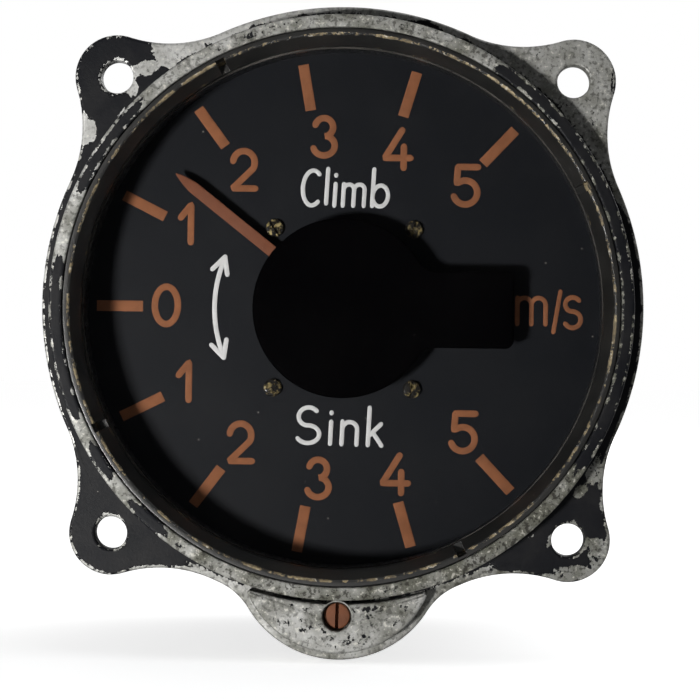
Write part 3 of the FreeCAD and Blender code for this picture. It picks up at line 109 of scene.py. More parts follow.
# Dial, cover and pointer
DIAL_FRONT, DIAL_BACK, DIAL_RADIUS, DIAL_BORE = 6.5, 7.5, 37.1, 3.0
DIAL_SCREW_X, DIAL_SCREW_Z, DIAL_SCREW_HEAD, DIAL_SCREW_HEIGHT = 9.75, 11.2, 1.25, 0.7
COVER_RADIUS, COVER_FRONT, COVER_BACK = 12.5, 2.3, 3.3
COVER_ARM_END, COVER_ARM_HALF, COVER_NECK, COVER_CORNER = 23.8, 5.35, 2.6, 1.2
POINTER_FRONT, POINTER_BACK, POINTER_TIP, POINTER_TAIL = 4.4, 4.8, 30.0, 7.0
POINTER_HUB, REST_READING = (0.8, 2.0), 38.2
# Adjuster and rear
ADJUSTER_DROP, ADJUSTER_HEAD, ADJUSTER_HOLE = 42.3, 1.8, 2.0
ADJUSTER_FRONT, ADJUSTER_BACK, HOLE_FLOOR = -1.6, 1.4, 2.9
ADJUSTER_STEM, ADJUSTER_END = 1.2, 12.5
CORNERS = ((1, 1), (-1, 1), (-1, -1), (1, -1))
REAR_FRONT, REAR_BACK, REAR_EDGE = 66.4, 69.4, 0.8
REAR_SCREW_PLACE, REAR_SCREW_HEAD, REAR_SCREW_HEIGHT = 24.466, 2.2, 1.5
UNION_X, UNION_RADIUS, UNION_BORE, UNION_END = 14.0, 5.0, 1.5, 83.0
HEX_CORNER, HEX_FRONT, HEX_BACK, HEX_INSET = 6.9, 69.8, 73.3, 0.55


# Surfaces: each is a grid of points worked out as whole arrays

class Skin:
    """Grids of points gathered into one surface, with an edge value at each point.

    The edge value is 1 where paint rubs off first and 0 on a sheltered face.
    """

    def __init__(self):
        self.points, self.faces, self.edge, self.count = [], [], [], 0

    def grid(self, points, wrap=False, edge=0.0):
        """Add a rows by columns grid. wrap joins its last column to its first."""
        rows, columns = points.shape[:2]
        r, c = np.mgrid[0:rows - 1, 0:columns if wrap else columns - 1]
        after = (c + 1) % columns
        corners = (r * columns + c, r * columns + after, (r + 1) * columns + after, (r + 1) * columns + c)
        self.faces.append(np.stack(corners, -1).reshape(-1, 4) + self.count)
        self.points.append(points.reshape(-1, 3))
        self.edge.append(np.broadcast_to(np.asarray(edge, float), (rows, columns)).ravel())
        self.count += rows * columns
        return self


def degrees(start, end, count, closed=False):
    """Even turns from start to end, in radians. A closed row leaves its last one out."""
    return np.radians(np.linspace(start, end, count, endpoint=not closed))


def rounded(corners, radius, steps=4):
    """Round each corner of a closed outline.

    A corner becomes a quadratic curve with the corner as its middle control point, from
    the point that lies the radius before it to the point that lies the radius after it.
    A third value of a corner, its edge value, holds all along its curve.
    """
    corners = np.asarray(corners, float)
    places = corners[:, :2]
    radius = np.broadcast_to(np.asarray(radius, float), len(corners))[:, None]
    ends = []
    for shift in (1, -1):
        side = np.roll(places, shift, 0) - places
        length = np.linalg.norm(side, axis=1, keepdims=True)
        ends.append(places + side / length * np.minimum(radius, length * 0.45))
    before, after = ends[0][:, None], ends[1][:, None]
    t = np.linspace(0, 1, steps + 1)[None, :, None]
    curve = (1 - t) ** 2 * before + 2 * t * (1 - t) * places[:, None] + t ** 2 * after
    return np.column_stack([curve.reshape(-1, 2), np.repeat(corners[:, 2:], steps + 1, axis=0)])


def supported(profile, near=0.12):
    """Add a point close to each end of every long straight, so that it shades flat.

    The new points' edge value, in the last column, is the lower one of the straight's two ends.
    """
    start, side = profile[:-1], np.diff(profile, axis=0)
    length = np.linalg.norm(side[:, :2], axis=1)[:, None]
    share = np.where(length > 4 * near, near / np.maximum(length, near), 0.3)
    near_start, near_end = start + side * share, start + side * (1 - share)
    rows = np.stack([start, near_start, near_end], 1)
    rows[:, 1:, -1] = np.minimum(start[:, -1], profile[1:, -1])[:, None]
    long = length[:, 0] > 4 * near
    keep = np.stack([np.ones_like(long), long, long], 1)
    return np.concatenate([rows[keep], profile[-1:]])


def add_turned(skin, profile, across=0.0, up=0.0, count=240, edge=0.0, closed=True):
    """Turn (radius, depth) points about an axis along Y: x and z are the radius times the
    cosine and the sine of the turn. A third value of the points is their edge value."""
    profile = np.asarray(profile, float)
    if profile.shape[1] == 2:
        profile = np.column_stack([profile, np.full(len(profile), edge)])
    profile = supported(np.concatenate([profile, profile[:1]]) if closed else profile)
    turn = degrees(0, 360, count, closed=True)
    radius, depth = profile[:, 0, None], profile[:, 1, None]
    x = across + radius * np.cos(turn)
    z = up + radius * np.sin(turn)
    points = np.stack([x, np.broadcast_to(depth, x.shape), z], -1)
    return skin.grid(points, wrap=True, edge=profile[:, 2, None])


def flat(outline, depth):
    """Points of a flat outline at one depth, or at a depth for each."""
    depth = np.broadcast_to(depth, outline.shape[:-1])
    return np.stack([outline[..., 0], depth, outline[..., 1]], -1)


def outward(outline):
    """Unit normals of a closed outline that runs anticlockwise: its tangent turned back by 90 degrees."""
    along = np.roll(outline, -1, 0) - np.roll(outline, 1, 0)
    along = along / np.linalg.norm(along, axis=1, keepdims=True)
    return np.stack([along[:, 1], -along[:, 0]], -1)


def rim(outline, profile):
    """Carry an edge profile of (inset, depth) pairs round a closed outline: each point is
    the outline's point moved in along its normal by the inset."""
    normal = outward(outline)
    rows = [flat(outline - normal * inset, depth) for inset, depth in profile]
    return np.stack(rows)


def edge_profile(front, back, radius, steps=4):
    """(inset, depth) pairs down an edge that is rounded at front and back."""
    turn = np.linspace(0, math.pi / 2, steps + 1)
    inset = radius * (1 - np.sin(turn))
    depth = radius * (1 - np.cos(turn))
    top = np.stack([inset, front + depth], -1)
    bottom = np.stack([inset, back - depth], -1)[::-1]
    return np.concatenate([top, bottom])


def bridge(inner, outer, shares, depth):
    """A flat surface between two closed outlines of as many points: rows at shares of the way."""
    share = np.asarray(shares, float)[:, None, None]
    return flat(inner + (outer - inner) * share, depth)


def arc(across, up, radius, start, end, count=24):
    """Points of a circle's arc between two angles in degrees."""
    turn = degrees(start, end, count)
    return np.stack([across + radius * np.cos(turn), up + radius * np.sin(turn)], -1)


def turn_by(points, angle):
    """Turn (x, y, z) points clockwise seen from the front."""
    a = math.radians(angle)
    x, y, z = points[..., 0], points[..., 1], points[..., 2]
    return np.stack([x * math.cos(a) + z * math.sin(a), y, z * math.cos(a) - x * math.sin(a)], -1)


def make_piece(name, skin, finish, body, replaces=(), closed=True):
    """Make the mesh of a skin, weld its grids, give it a finish and put it on its body."""
    mesh = bpy.data.meshes.new(name)
    points = np.concatenate(skin.points) * MM
    faces = np.concatenate(skin.faces)
    mesh.vertices.add(len(points))
    mesh.vertices.foreach_set("co", points.ravel())
    mesh.loops.add(faces.size)
    mesh.loops.foreach_set("vertex_index", faces.ravel())
    mesh.polygons.add(len(faces))
    mesh.polygons.foreach_set("loop_start", np.arange(0, faces.size, 4))
    mesh.attributes.new("edge", "FLOAT", "POINT").data.foreach_set("value", np.concatenate(skin.edge))
    mesh.update(calc_edges=True)
    shape = bmesh.new()
    shape.from_mesh(mesh)
    bmesh.ops.remove_doubles(shape, verts=shape.verts, dist=WELD)
    bmesh.ops.dissolve_degenerate(shape, edges=shape.edges, dist=WELD / 2)
    if closed:
        bmesh.ops.recalc_face_normals(shape, faces=shape.faces)
    shape.to_mesh(mesh)
    shape.free()
    mesh.polygons.foreach_set("use_smooth", np.ones(len(mesh.polygons), bool))
    mesh.set_sharp_from_angle(angle=SHARP)
    mesh.materials.append(finish_named(finish))
    piece = bpy.data.objects.new(name, mesh)
    bpy.context.scene.collection.objects.link(piece)
    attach(piece, body)
    if replaces:
        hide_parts(*replaces)
    return piece


# Shader node groups and materials

def add_node(tree, kind, inputs=None, **settings):
    """Add a shader node, set it up, and give its inputs values or links."""
    made = tree.nodes.new(kind)
    for name, value in settings.items():
        setattr(made, name, value)
    for name, value in (inputs or {}).items():
        if isinstance(value, NodeSocket):
            tree.links.new(value, made.inputs[name])
        else:
            made.inputs[name].default_value = value
    return made


def new_group(name, inputs, outputs):
    """A shader node group with named sockets: (name, type, default)."""
    tree = bpy.data.node_groups.new(name, "ShaderNodeTree")
    for label, kind, default in inputs:
        socket = tree.interface.new_socket(label, in_out="INPUT", socket_type=kind)
        socket.default_value = default
    for label, kind in outputs:
        tree.interface.new_socket(label, in_out="OUTPUT", socket_type=kind)
    return tree, tree.nodes.new("NodeGroupInput").outputs, tree.nodes.new("NodeGroupOutput").inputs


FLOAT, COLOUR = "NodeSocketFloat", "NodeSocketColor"
DUST = (0.30, 0.28, 0.25, 1)


def object_place(tree, scale):
    """Object coordinates in millimetres, times a scale."""
    place = add_node(tree, "ShaderNodeTexCoord").outputs["Object"]
    stretch = add_node(tree, "ShaderNodeVectorMath", {0: place}, operation="SCALE")
    factor = add_node(tree, "ShaderNodeMath", {0: scale, 1: 1 / MM}, operation="MULTIPLY")
    tree.links.new(factor.outputs[0], stretch.inputs["Scale"])
    return stretch.outputs[0]


def noise(tree, place, detail=4.0, rough=0.6, **settings):
    """A noise value from 0 to 1 over places in its own scale."""
    inputs = {"Vector": place, "Scale": 1.0, "Detail": detail, "Roughness": rough}
    return add_node(tree, "ShaderNodeTexNoise", inputs, **settings).outputs["Fac"]


def math_node(tree, operation, a, b=0.0, c=0.0, clamp=False):
    """One step of arithmetic on up to three values or links."""
    inputs = {0: a, 1: b, 2: c}
    return add_node(tree, "ShaderNodeMath", inputs, operation=operation, use_clamp=clamp).outputs[0]


def mix_colour(tree, share, a, b):
    """Colour b over colour a, by a share."""
    made = add_node(tree, "ShaderNodeMix", data_type="RGBA")
    for index, value in ((0, share), (6, a), (7, b)):
        if isinstance(value, NodeSocket):
            tree.links.new(value, made.inputs[index])
        else:
            made.inputs[index].default_value = value
    return made.outputs[2]


def spread(tree, value, low, high, start=0.0, end=1.0):
    """Map a value from low..high to start..end, smoothly."""
    inputs = {"Value": value, "From Min": low, "From Max": high, "To Min": start, "To Max": end}
    return add_node(tree, "ShaderNodeMapRange", inputs, interpolation_type="SMOOTHSTEP").outputs["Result"]


def build_groups():
    """The effects that several finishes share."""
    tree, given, out = new_group(
        "Paint loss",
        [("Loss", FLOAT, 0.0), ("Edge", FLOAT, 0.0), ("Size", FLOAT, 0.4), ("Ragged", FLOAT, 0.5)],
        [("Bare", FLOAT), ("Lip", FLOAT)],
    )
    broad = noise(tree, object_place(tree, given["Size"]), detail=6.0, rough=0.62)
    fine_size = math_node(tree, "MULTIPLY", given["Size"], 5.0)
    fine = noise(tree, object_place(tree, fine_size), detail=3.0)
    mixed = math_node(tree, "MULTIPLY_ADD", fine, 0.35, math_node(tree, "MULTIPLY", broad, 0.65))
    swing = math_node(tree, "MULTIPLY", math_node(tree, "SUBTRACT", mixed, 0.5), given["Ragged"])
    rubbed = math_node(tree, "MULTIPLY_ADD", given["Edge"], 0.44, given["Loss"])
    level = math_node(tree, "MULTIPLY_ADD", swing, 4.0, rubbed)
    tree.links.new(spread(tree, level, 0.49, 0.53), out["Bare"])
    tree.links.new(spread(tree, level, 0.40, 0.55), out["Lip"])

    tree, given, out = new_group(
        "Grain",
        [("Size", FLOAT, 2.0), ("Low", FLOAT, 0.4), ("High", FLOAT, 0.6)],
        [("Height", FLOAT), ("Roughness", FLOAT)],
    )
    bumps = noise(tree, object_place(tree, given["Size"]), detail=5.0)
    tree.links.new(bumps, out["Height"])
    width = math_node(tree, "SUBTRACT", given["High"], given["Low"])
    tree.links.new(math_node(tree, "MULTIPLY_ADD", bumps, width, given["Low"]), out["Roughness"])

    tree, given, out = new_group(
        "Worn metal",
        [("Clean", COLOUR, (0.4, 0.4, 0.4, 1)), ("Dirt", COLOUR, (0.1, 0.1, 0.08, 1)),
         ("Tone", FLOAT, 0.5)],
        [("Colour", COLOUR), ("Roughness", FLOAT), ("Height", FLOAT)],
    )
    cloud = noise(tree, object_place(tree, 0.28), detail=6.0, rough=0.6)
    spots = noise(tree, object_place(tree, 1.6), detail=3.0, rough=0.6)
    # Tone moves the metal between its Dirt and Clean colours and sets how many dark specks it has. On the
    # case the tone also holds painted light, so there the Dirt colour and the specks also stand for
    # painted shade.
    level = math_node(tree, "MULTIPLY_ADD", math_node(tree, "SUBTRACT", cloud, 0.5), 2.2, given["Tone"])
    clean = math_node(tree, "MAXIMUM", level, 0.0, clamp=True)
    base = mix_colour(tree, clean, given["Dirt"], given["Clean"])
    pale = math_node(tree, "MULTIPLY", spread(tree, spots, 0.58, 0.68), 0.55)
    grime_and_shade = math_node(tree, "MULTIPLY_ADD", given["Tone"], -0.75, 0.95, clamp=True)
    dark = math_node(tree, "MULTIPLY", spread(tree, spots, 0.48, 0.38), grime_and_shade)
    specked = mix_colour(tree, pale, base, (0.62, 0.60, 0.54, 1))
    tree.links.new(mix_colour(tree, dark, specked, (0.035, 0.033, 0.028, 1)), out["Colour"])
    tree.links.new(spread(tree, level, 0.0, 1.0, 0.75, 0.42), out["Roughness"])
    tree.links.new(spots, out["Height"])

    tree, given, out = new_group(
        "Dust",
        [("Colour", COLOUR, (0.1, 0.1, 0.1, 1)), ("Dust", COLOUR, (0.35, 0.33, 0.3, 1)),
         ("Film", FLOAT, 0.05), ("Specks", FLOAT, 0.5), ("Size", FLOAT, 0.6)],
        [("Colour", COLOUR)],
    )
    cloud = noise(tree, object_place(tree, math_node(tree, "MULTIPLY", given["Size"], 0.2)), detail=5.0)
    film = math_node(tree, "MULTIPLY", spread(tree, cloud, 0.35, 0.75), given["Film"])
    place = object_place(tree, given["Size"])
    cells = add_node(tree, "ShaderNodeTexVoronoi", {"Vector": place, "Scale": 1.0})
    draw = add_node(tree, "ShaderNodeSeparateColor", {0: cells.outputs["Color"]}).outputs[0]
    lone = math_node(tree, "GREATER_THAN", draw, 0.95)
    dot = math_node(tree, "LESS_THAN", cells.outputs["Distance"], 0.08)
    speck = math_node(tree, "MULTIPLY", math_node(tree, "MULTIPLY", lone, dot), given["Specks"])
    cover = math_node(tree, "ADD", film, speck, clamp=True)
    tree.links.new(mix_colour(tree, cover, given["Colour"], given["Dust"]), out["Colour"])


def use_group(tree, name, **inputs):
    """Place a node group, with its inputs given by name, and return its outputs."""
    made = add_node(tree, "ShaderNodeGroup", node_tree=bpy.data.node_groups[name])
    link_all(tree, made, **inputs)
    return made.outputs


def new_material(name):
    """A node material with its Principled shader."""
    material = bpy.data.materials.new(name)
    material.use_nodes = True
    tree = material.node_tree
    shader = tree.nodes["Principled BSDF"]
    return material, tree, shader


def link_all(tree, node, **inputs):
    """Set or link inputs of a node by name."""
    for label, value in inputs.items():
        socket = node.inputs[label.replace("_", " ")]
        if isinstance(value, NodeSocket):
            tree.links.new(value, socket)
        else:
            socket.default_value = value


def bump(tree, height, depth, strength=1.0):
    """A bump whose depth is in millimetres."""
    inputs = {"Height": height, "Distance": depth * MM, "Strength": strength}
    return add_node(tree, "ShaderNodeBump", inputs).outputs["Normal"]


def value_at(tree, name):
    """A value that the mesh holds at each point."""
    return add_node(tree, "ShaderNodeAttribute", attribute_name=name).outputs["Fac"]


def rgba(colour):
    """A colour with full alpha."""
    return (*colour, 1.0)


def painted(
    name, paint, metal, dirt, loss=0.15, size=0.4, ragged=0.5, shine=(0.35, 0.55), gloss=0.12,
    regional=False,
):
    """Enamel over metal that is chipped along its edges, and where the paint has worn away.

    A regional finish also reads the mesh's own loss and tone at each point; that tone holds painted light
    as well as dirt.
    """
    material, tree, shader = new_material(name)
    lost = math_node(tree, "ADD", value_at(tree, "loss"), loss) if regional else loss
    tone = value_at(tree, "tone") if regional else 0.5
    worn = use_group(tree, "Paint loss", Loss=lost, Edge=value_at(tree, "edge"), Size=size, Ragged=ragged)
    grain = use_group(tree, "Grain", Size=2.2, Low=shine[0], High=shine[1])
    metal_look = use_group(tree, "Worn metal", Clean=rgba(metal), Dirt=rgba(dirt), Tone=tone)
    dusty = use_group(tree, "Dust", Colour=rgba(paint), Dust=DUST, Film=0.03, Specks=0.5, Size=0.9)
    colour = mix_colour(tree, worn["Bare"], dusty["Colour"], metal_look["Colour"])
    bare_rough = math_node(tree, "MULTIPLY", worn["Bare"], metal_look["Roughness"])
    kept = math_node(tree, "SUBTRACT", 1.0, worn["Bare"])
    rough = math_node(tree, "ADD", bare_rough, math_node(tree, "MULTIPLY", kept, grain["Roughness"]))
    lip = math_node(tree, "MULTIPLY", worn["Lip"], -1.0)
    height = math_node(tree, "MULTIPLY_ADD", grain["Height"], 0.3, lip)
    pitted = math_node(tree, "MULTIPLY", metal_look["Height"], worn["Bare"])
    rugged = math_node(tree, "MULTIPLY_ADD", pitted, 0.5, height)
    link_all(
        tree, shader, Base_Color=colour, Roughness=rough, Normal=bump(tree, rugged, 0.08),
        Metallic=math_node(tree, "MULTIPLY", worn["Bare"], 0.35), Specular_IOR_Level=gloss,
    )
    return material


def plain(
    name, colour, metallic=0.0, shine=(0.35, 0.55), size=1.5, dust=0.05, depth=0.02, shade=0.25,
    gloss=0.4, specks=0.5,
):
    """A finish with uneven colour, a fine grain, and a little dust."""
    material, tree, shader = new_material(name)
    grain = use_group(tree, "Grain", Size=size, Low=shine[0], High=shine[1])
    uneven = noise(tree, object_place(tree, size * 0.25), detail=5.0)
    darker = rgba([c * (1 - shade) for c in colour])
    lighter = rgba([min(1, c * (1 + shade)) for c in colour])
    tone = mix_colour(tree, uneven, darker, lighter)
    dusty = use_group(tree, "Dust", Colour=tone, Dust=DUST, Film=dust, Specks=specks, Size=0.6)
    link_all(
        tree, shader, Base_Color=dusty["Colour"], Roughness=grain["Roughness"], Metallic=metallic,
        Normal=bump(tree, grain["Height"], depth), Specular_IOR_Level=gloss,
    )
    return material


def see_through(name, colour, alpha):
    """Clear glass as a thin, shining film: its plain alpha lets light and sight through."""
    material, tree, shader = new_material(name)
    grain = use_group(tree, "Grain", Size=0.5, Low=0.02, High=0.08)
    dusty = use_group(tree, "Dust", Colour=rgba(colour), Dust=DUST, Film=0.1, Specks=1.0, Size=0.5)
    link_all(
        tree, shader, Base_Color=dusty["Colour"], Roughness=grain["Roughness"],
        Specular_IOR_Level=0.25, Alpha=alpha)
    return material


def build_finishes(colours):
    """Every finish of the instrument, by the name of the record's material slot."""
    enamel, metal, dirt = tuple(colours.enamel), tuple(colours.bare_metal), tuple(colours.dirt)
    enamelled = {
        "case_paint": dict(paint=enamel, metal=metal, dirt=dirt, loss=0.0, regional=True),
        "rear_paint": dict(paint=enamel, metal=metal, dirt=dirt, loss=0.10, size=0.3),
        "ring_metal": dict(
            paint=(0.009, 0.009, 0.0088), metal=(0.34, 0.27, 0.15), dirt=(0.08, 0.06, 0.035),
            loss=0.08, size=0.5, ragged=0.45, shine=(0.24, 0.36), gloss=0.6),
        "dial_fasteners": dict(
            paint=(0.012, 0.011, 0.01), metal=(0.45, 0.36, 0.16), dirt=(0.12, 0.09, 0.04),
            loss=0.42, size=1.3, ragged=0.6, shine=(0.2, 0.35)),
        "worn_steel": dict(
            paint=(0.04, 0.04, 0.042), metal=(0.42, 0.41, 0.38), dirt=dirt, loss=0.25, size=0.9),
    }
    even = {
        "inner_paint": dict(
            colour=(0.015, 0.0155, 0.017), shine=(0.22, 0.34), dust=0.04, shade=0.5, gloss=0.6),
        "seal": dict(colour=(0.03, 0.028, 0.025), shine=(0.7, 0.9), dust=0.2),
        "dial_paint": dict(
            colour=colours.dial, shine=(0.42, 0.52), size=2.5, dust=0.008, depth=0.006, shade=0.12,
            gloss=0.1),
        "cover_paint": dict(
            colour=colours.cover, shine=(0.6, 0.8), dust=0.0, shade=0.1, gloss=0.01, specks=0.0),
        "lume": dict(
            colour=colours.lume, shine=(0.7, 0.95), size=2.2, dust=0.03, depth=0.04, shade=0.45,
            gloss=0.2),
        "lettering": dict(colour=colours.lettering, shine=(0.5, 0.7), size=2.0, shade=0.2),
        "pointer_paint": dict(colour=colours.pointer, shine=(0.6, 0.85), size=2.4, depth=0.04, gloss=0.2),
        "plate_brass": dict(colour=(0.62, 0.45, 0.19), metallic=1.0, shine=(0.22, 0.4), dust=0.02),
        "bright_steel": dict(colour=(0.46, 0.46, 0.47), metallic=1.0, shine=(0.18, 0.38), dust=0.02),
        "capsule_bronze": dict(colour=(0.58, 0.37, 0.20), metallic=1.0, shine=(0.25, 0.42)),
        "adjuster_metal": dict(
            colour=colours.adjuster, metallic=0.25, shine=(0.55, 0.85), size=1.6, dust=0.0, depth=0.1,
            shade=0.65),
        "union_metal": dict(
            colour=(0.44, 0.44, 0.43), metallic=0.9, shine=(0.3, 0.55), dust=0.06, shade=0.2),
        "pipe_copper": dict(colour=(0.62, 0.30, 0.18), metallic=1.0, shine=(0.3, 0.5)),
    }
    clear = {
        "clear_glass": dict(colour=(0.004, 0.004, 0.004), alpha=0.08),
        "capillary_glass": dict(colour=(0.05, 0.07, 0.065), alpha=0.25),
    }
    return {
        name: make(name, **look)
        for make, looks in ((painted, enamelled), (plain, even), (see_through, clear))
        for name, look in looks.items()
    }


FINISHES = {}


def finish_named(name):
    """A finish. All of them are made when the first one is asked for."""
    if not FINISHES:
        build_groups()
        FINISHES.update(build_finishes(bpy.context.scene.vsi_colours))
    return FINISHES[name]


# Case

def ear_radius_at(angle, place, size, blend):
    """Radius of the flange's outline beside a round ear, for angles from the ear's direction.

    A ray leaves the ear's own circle on its far side. Further round it meets the near side of
    a blend circle that touches the ear and the flange, and past that the flange itself.
    """
    reach = FLANGE_RADIUS + blend
    lean = math.acos((reach ** 2 + place ** 2 - (size + blend) ** 2) / (2 * reach * place))
    centre = np.array([reach * math.cos(lean), reach * math.sin(lean)])
    touch = np.array([place, 0]) + (centre - [place, 0]) * size / (size + blend)
    turn = math.atan2(touch[1], touch[0])
    angle = np.abs(angle)
    far = place * np.cos(angle) + np.sqrt(np.maximum(size ** 2 - (place * np.sin(angle)) ** 2, 0))
    aside = reach * np.sin(angle - lean)
    near = reach * np.cos(angle - lean) - np.sqrt(np.maximum(blend ** 2 - aside ** 2, 0))
    return np.where(angle < turn, far, np.where(angle < lean, near, FLANGE_RADIUS))


def ear_centre(direction):
    """The centre of an ear and of its hole, which lie on the diagonals."""
    return HOLE_PLACE * math.sqrt(2) * np.array([math.cos(direction), math.sin(direction)])


def flange_outline(angle):
    """The flange's outline: the largest of its ears' and its lug's radii at each angle."""
    ears = [(middle, HOLE_PLACE * math.sqrt(2), EAR_RADIUS, EAR_BLEND) for middle in EAR_ANGLES]
    radii = []
    for middle, *shape in (*ears, (270, LUG_DROP, LUG_RADIUS, LUG_BLEND)):
        turned = (angle - math.radians(middle) + math.pi) % (2 * math.pi) - math.pi
        radii.append(ear_radius_at(turned, *shape))
    radius = np.max(radii, axis=0)
    return np.stack([radius * np.cos(angle), radius * np.sin(angle)], -1)


def add_flange(skin, bevel):
    """The flange: a rounded rim carried round the outline, and flat faces in bands between
    the ears. Each ear's face is a grid between its hole and the edge of its own sector."""
    step, half = 0.5, 22
    angle = degrees(0, 360, round(360 / step), closed=True)
    outline = flange_outline(angle)
    edge_rows = edge_profile(0, FLANGE_THICK, bevel)
    skin.grid(rim(outline, edge_rows), wrap=True, edge=1.0)
    outer = outline - outward(outline) * bevel
    inner = (COLLAR_RADIUS - 0.1) * np.stack([np.cos(angle), np.sin(angle)], -1)
    for depth, rows in ((0, 16), (FLANGE_THICK, 5)):
        shares = np.linspace(0, 1, rows)
        spokes = inner[:, None] + (outer - inner)[:, None] * shares[:, None]
        near_edge = np.clip((shares - 0.82) / 0.18, 0, 1)[:, None]
        for middle in EAR_ANGLES:
            turns = middle - half, middle + half, middle + 90 - half
            start, end, after = (round(turn / step) for turn in turns)
            here = np.arange(start, end + 1) % len(angle)
            there = np.arange(end, after + 1) % len(angle)
            skin.grid(bridge(inner[there], outer[there], shares, depth), edge=near_edge)
            border = np.concatenate([
                inner[here], spokes[here[-1], 1:], outer[here][::-1][1:], spokes[here[0], -2:0:-1],
            ])
            rub = np.concatenate([
                np.zeros(len(here)), near_edge[1:, 0], np.ones(len(here) - 1),
                near_edge[::-1][1:-1, 0],
            ])
            add_ear_face(skin, math.radians(middle), border, rub, depth, rows + 6)
    for middle in EAR_ANGLES:
        circle = arc(*ear_centre(math.radians(middle)), HOLE_RADIUS, 0, 360, 73)[:-1]
        rows = edge_profile(0, FLANGE_THICK, HOLE_BEVEL, 2) * [-1, 1]
        skin.grid(rim(circle, rows), wrap=True, edge=0.9)


def add_ear_face(skin, direction, border, rub, depth, rows):
    """One face of an ear: rows from the hole's rim straight out to the sector's border."""
    away = border - ear_centre(direction)
    away = away / np.linalg.norm(away, axis=1, keepdims=True)
    hole = ear_centre(direction) + away * (HOLE_RADIUS + HOLE_BEVEL)
    shares = np.linspace(0, 1, rows)
    blend = np.clip((shares - 0.85) / 0.15, 0, 1)[:, None]
    near_hole = np.clip((0.12 - shares) / 0.12, 0, 0.9)[:, None]
    skin.grid(bridge(hole, border, shares, depth), wrap=True, edge=near_hole + blend * rub[None, :])


def lug_outline(radius, inner):
    """A D shape in the lug: its own circle below, and a circle round the case's axis above.

    The points nearest its two sharp corners are left out, so that it can be moved inwards.
    """
    low = (inner ** 2 + LUG_DROP ** 2 - radius ** 2) / (2 * LUG_DROP)
    aside = math.sqrt(inner ** 2 - low ** 2)
    from_lug = math.degrees(math.atan2(LUG_DROP - low, aside))
    from_centre = math.degrees(math.atan2(-low, aside))
    below = arc(0, -LUG_DROP, radius, 180 - from_lug, 360 + from_lug, LUG_COUNTS[0])
    above = arc(0, 0, inner, from_centre, -180 - from_centre, LUG_COUNTS[1])
    return np.concatenate([below[2:-2], above[2:-2]])


def add_boss(skin, bevel):
    """The boss and the hole in it, with rows from the hole's rim to the D-shaped edge.

    Points of the edge that lie too near the hole are moved straight out from its centre. The
    rows leave the hole in the direction of their edge point, turned by 21 degrees at the D's
    two corners, so that they don't cross its hollow side.
    """
    centre = np.array([0, -ADJUSTER_DROP])
    rows = rim(lug_outline(BOSS_RADIUS, BOSS_INNER), edge_profile(BOSS_FRONT, BOSS_BACK, bevel)[:-2])
    away = rows[..., [0, 2]] - centre
    far = np.linalg.norm(away, axis=-1, keepdims=True)
    rows[..., [0, 2]] = centre + away / far * np.maximum(far, ADJUSTER_HOLE + 0.22)
    skin.grid(rows, wrap=True, edge=0.8)
    border = rows[0][:, [0, 2]]
    near_corner = np.concatenate([np.linspace(-1, 1, count)[2:-2] ** 2 for count in LUG_COUNTS])
    right, over = away[0].T
    turn = np.arctan2(over, right) - np.sign(right) * math.radians(21) * near_corner
    hole = centre + (ADJUSTER_HOLE + 0.2) * np.stack([np.cos(turn), np.sin(turn)], -1)
    shares = np.array([0, 0.08, 0.3, 0.6, 0.85, 0.94, 1])
    near = np.array([0.8, 0.2, 0, 0, 0.1, 0.6, 0.9])[:, None]
    skin.grid(bridge(hole, border, shares, BOSS_FRONT), wrap=True, edge=near)
    circle = arc(0, -ADJUSTER_DROP, ADJUSTER_HOLE, 0, 360, 73)[:-1]
    rows = [
        (-0.2, BOSS_FRONT), (-0.06, BOSS_FRONT + 0.06), (0, BOSS_FRONT + 0.2), (0, HOLE_FLOOR),
        (ADJUSTER_HOLE - 0.1, HOLE_FLOOR),
    ]
    skin.grid(rim(circle, rows), wrap=True, edge=np.array([0.8, 0.8, 0.5, 0, 0])[:, None])


def add_house(skin):
    """The gear house behind the lug: a D-shaped block that ends inside the barrel's wall."""
    outline = lug_outline(HOUSE_RADIUS, (BARREL_RADIUS + BORE_RADIUS) / 2)
    middle = np.array([0, -(BARREL_RADIUS + ADJUSTER_DROP) / 2])
    rows = rim(outline, [(0, 1.5), (0, HOUSE_BACK - 0.6), (0.18, HOUSE_BACK - 0.18), (0.6, HOUSE_BACK)])
    close = np.broadcast_to(flat(middle[None], HOUSE_BACK), rows[-1].shape)
    skin.grid(np.concatenate([rows, close[None]]), wrap=True, edge=0.2)


def span_share(angle, spans, soft=2.5):
    """How far each angle, in degrees, lies inside one of the spans: 0 to 1, with soft ends."""
    share = np.zeros_like(angle)
    for start, end in spans:
        half, middle = (end - start) / 2, (end + start) / 2
        off = np.abs((angle - middle + 180) % 360 - 180)
        share = np.maximum(share, np.clip((half - off) / soft + 0.5, 0, 1))
    return share


def patch_share(x, z, patches):
    """How far each point lies inside one of the oval patches: 0 to 1.

    A patch is (x, z, half length, half width, lean of its length in degrees).
    """
    share = np.zeros_like(x)
    for across, up, long, wide, lean in patches:
        a = math.radians(lean)
        right, over = x - across, z - up
        far = np.hypot((right * math.cos(a) + over * math.sin(a)) / long,
                       (over * math.cos(a) - right * math.sin(a)) / wide)
        share = np.maximum(share, np.clip((1.3 - far) / 0.6, 0, 1))
    return share


def is_collar(radius, y):
    """Whether each point lies on the collar, and not on the flange behind it."""
    return (radius < COLLAR_RADIUS + 0.04) & (y < 0.1)


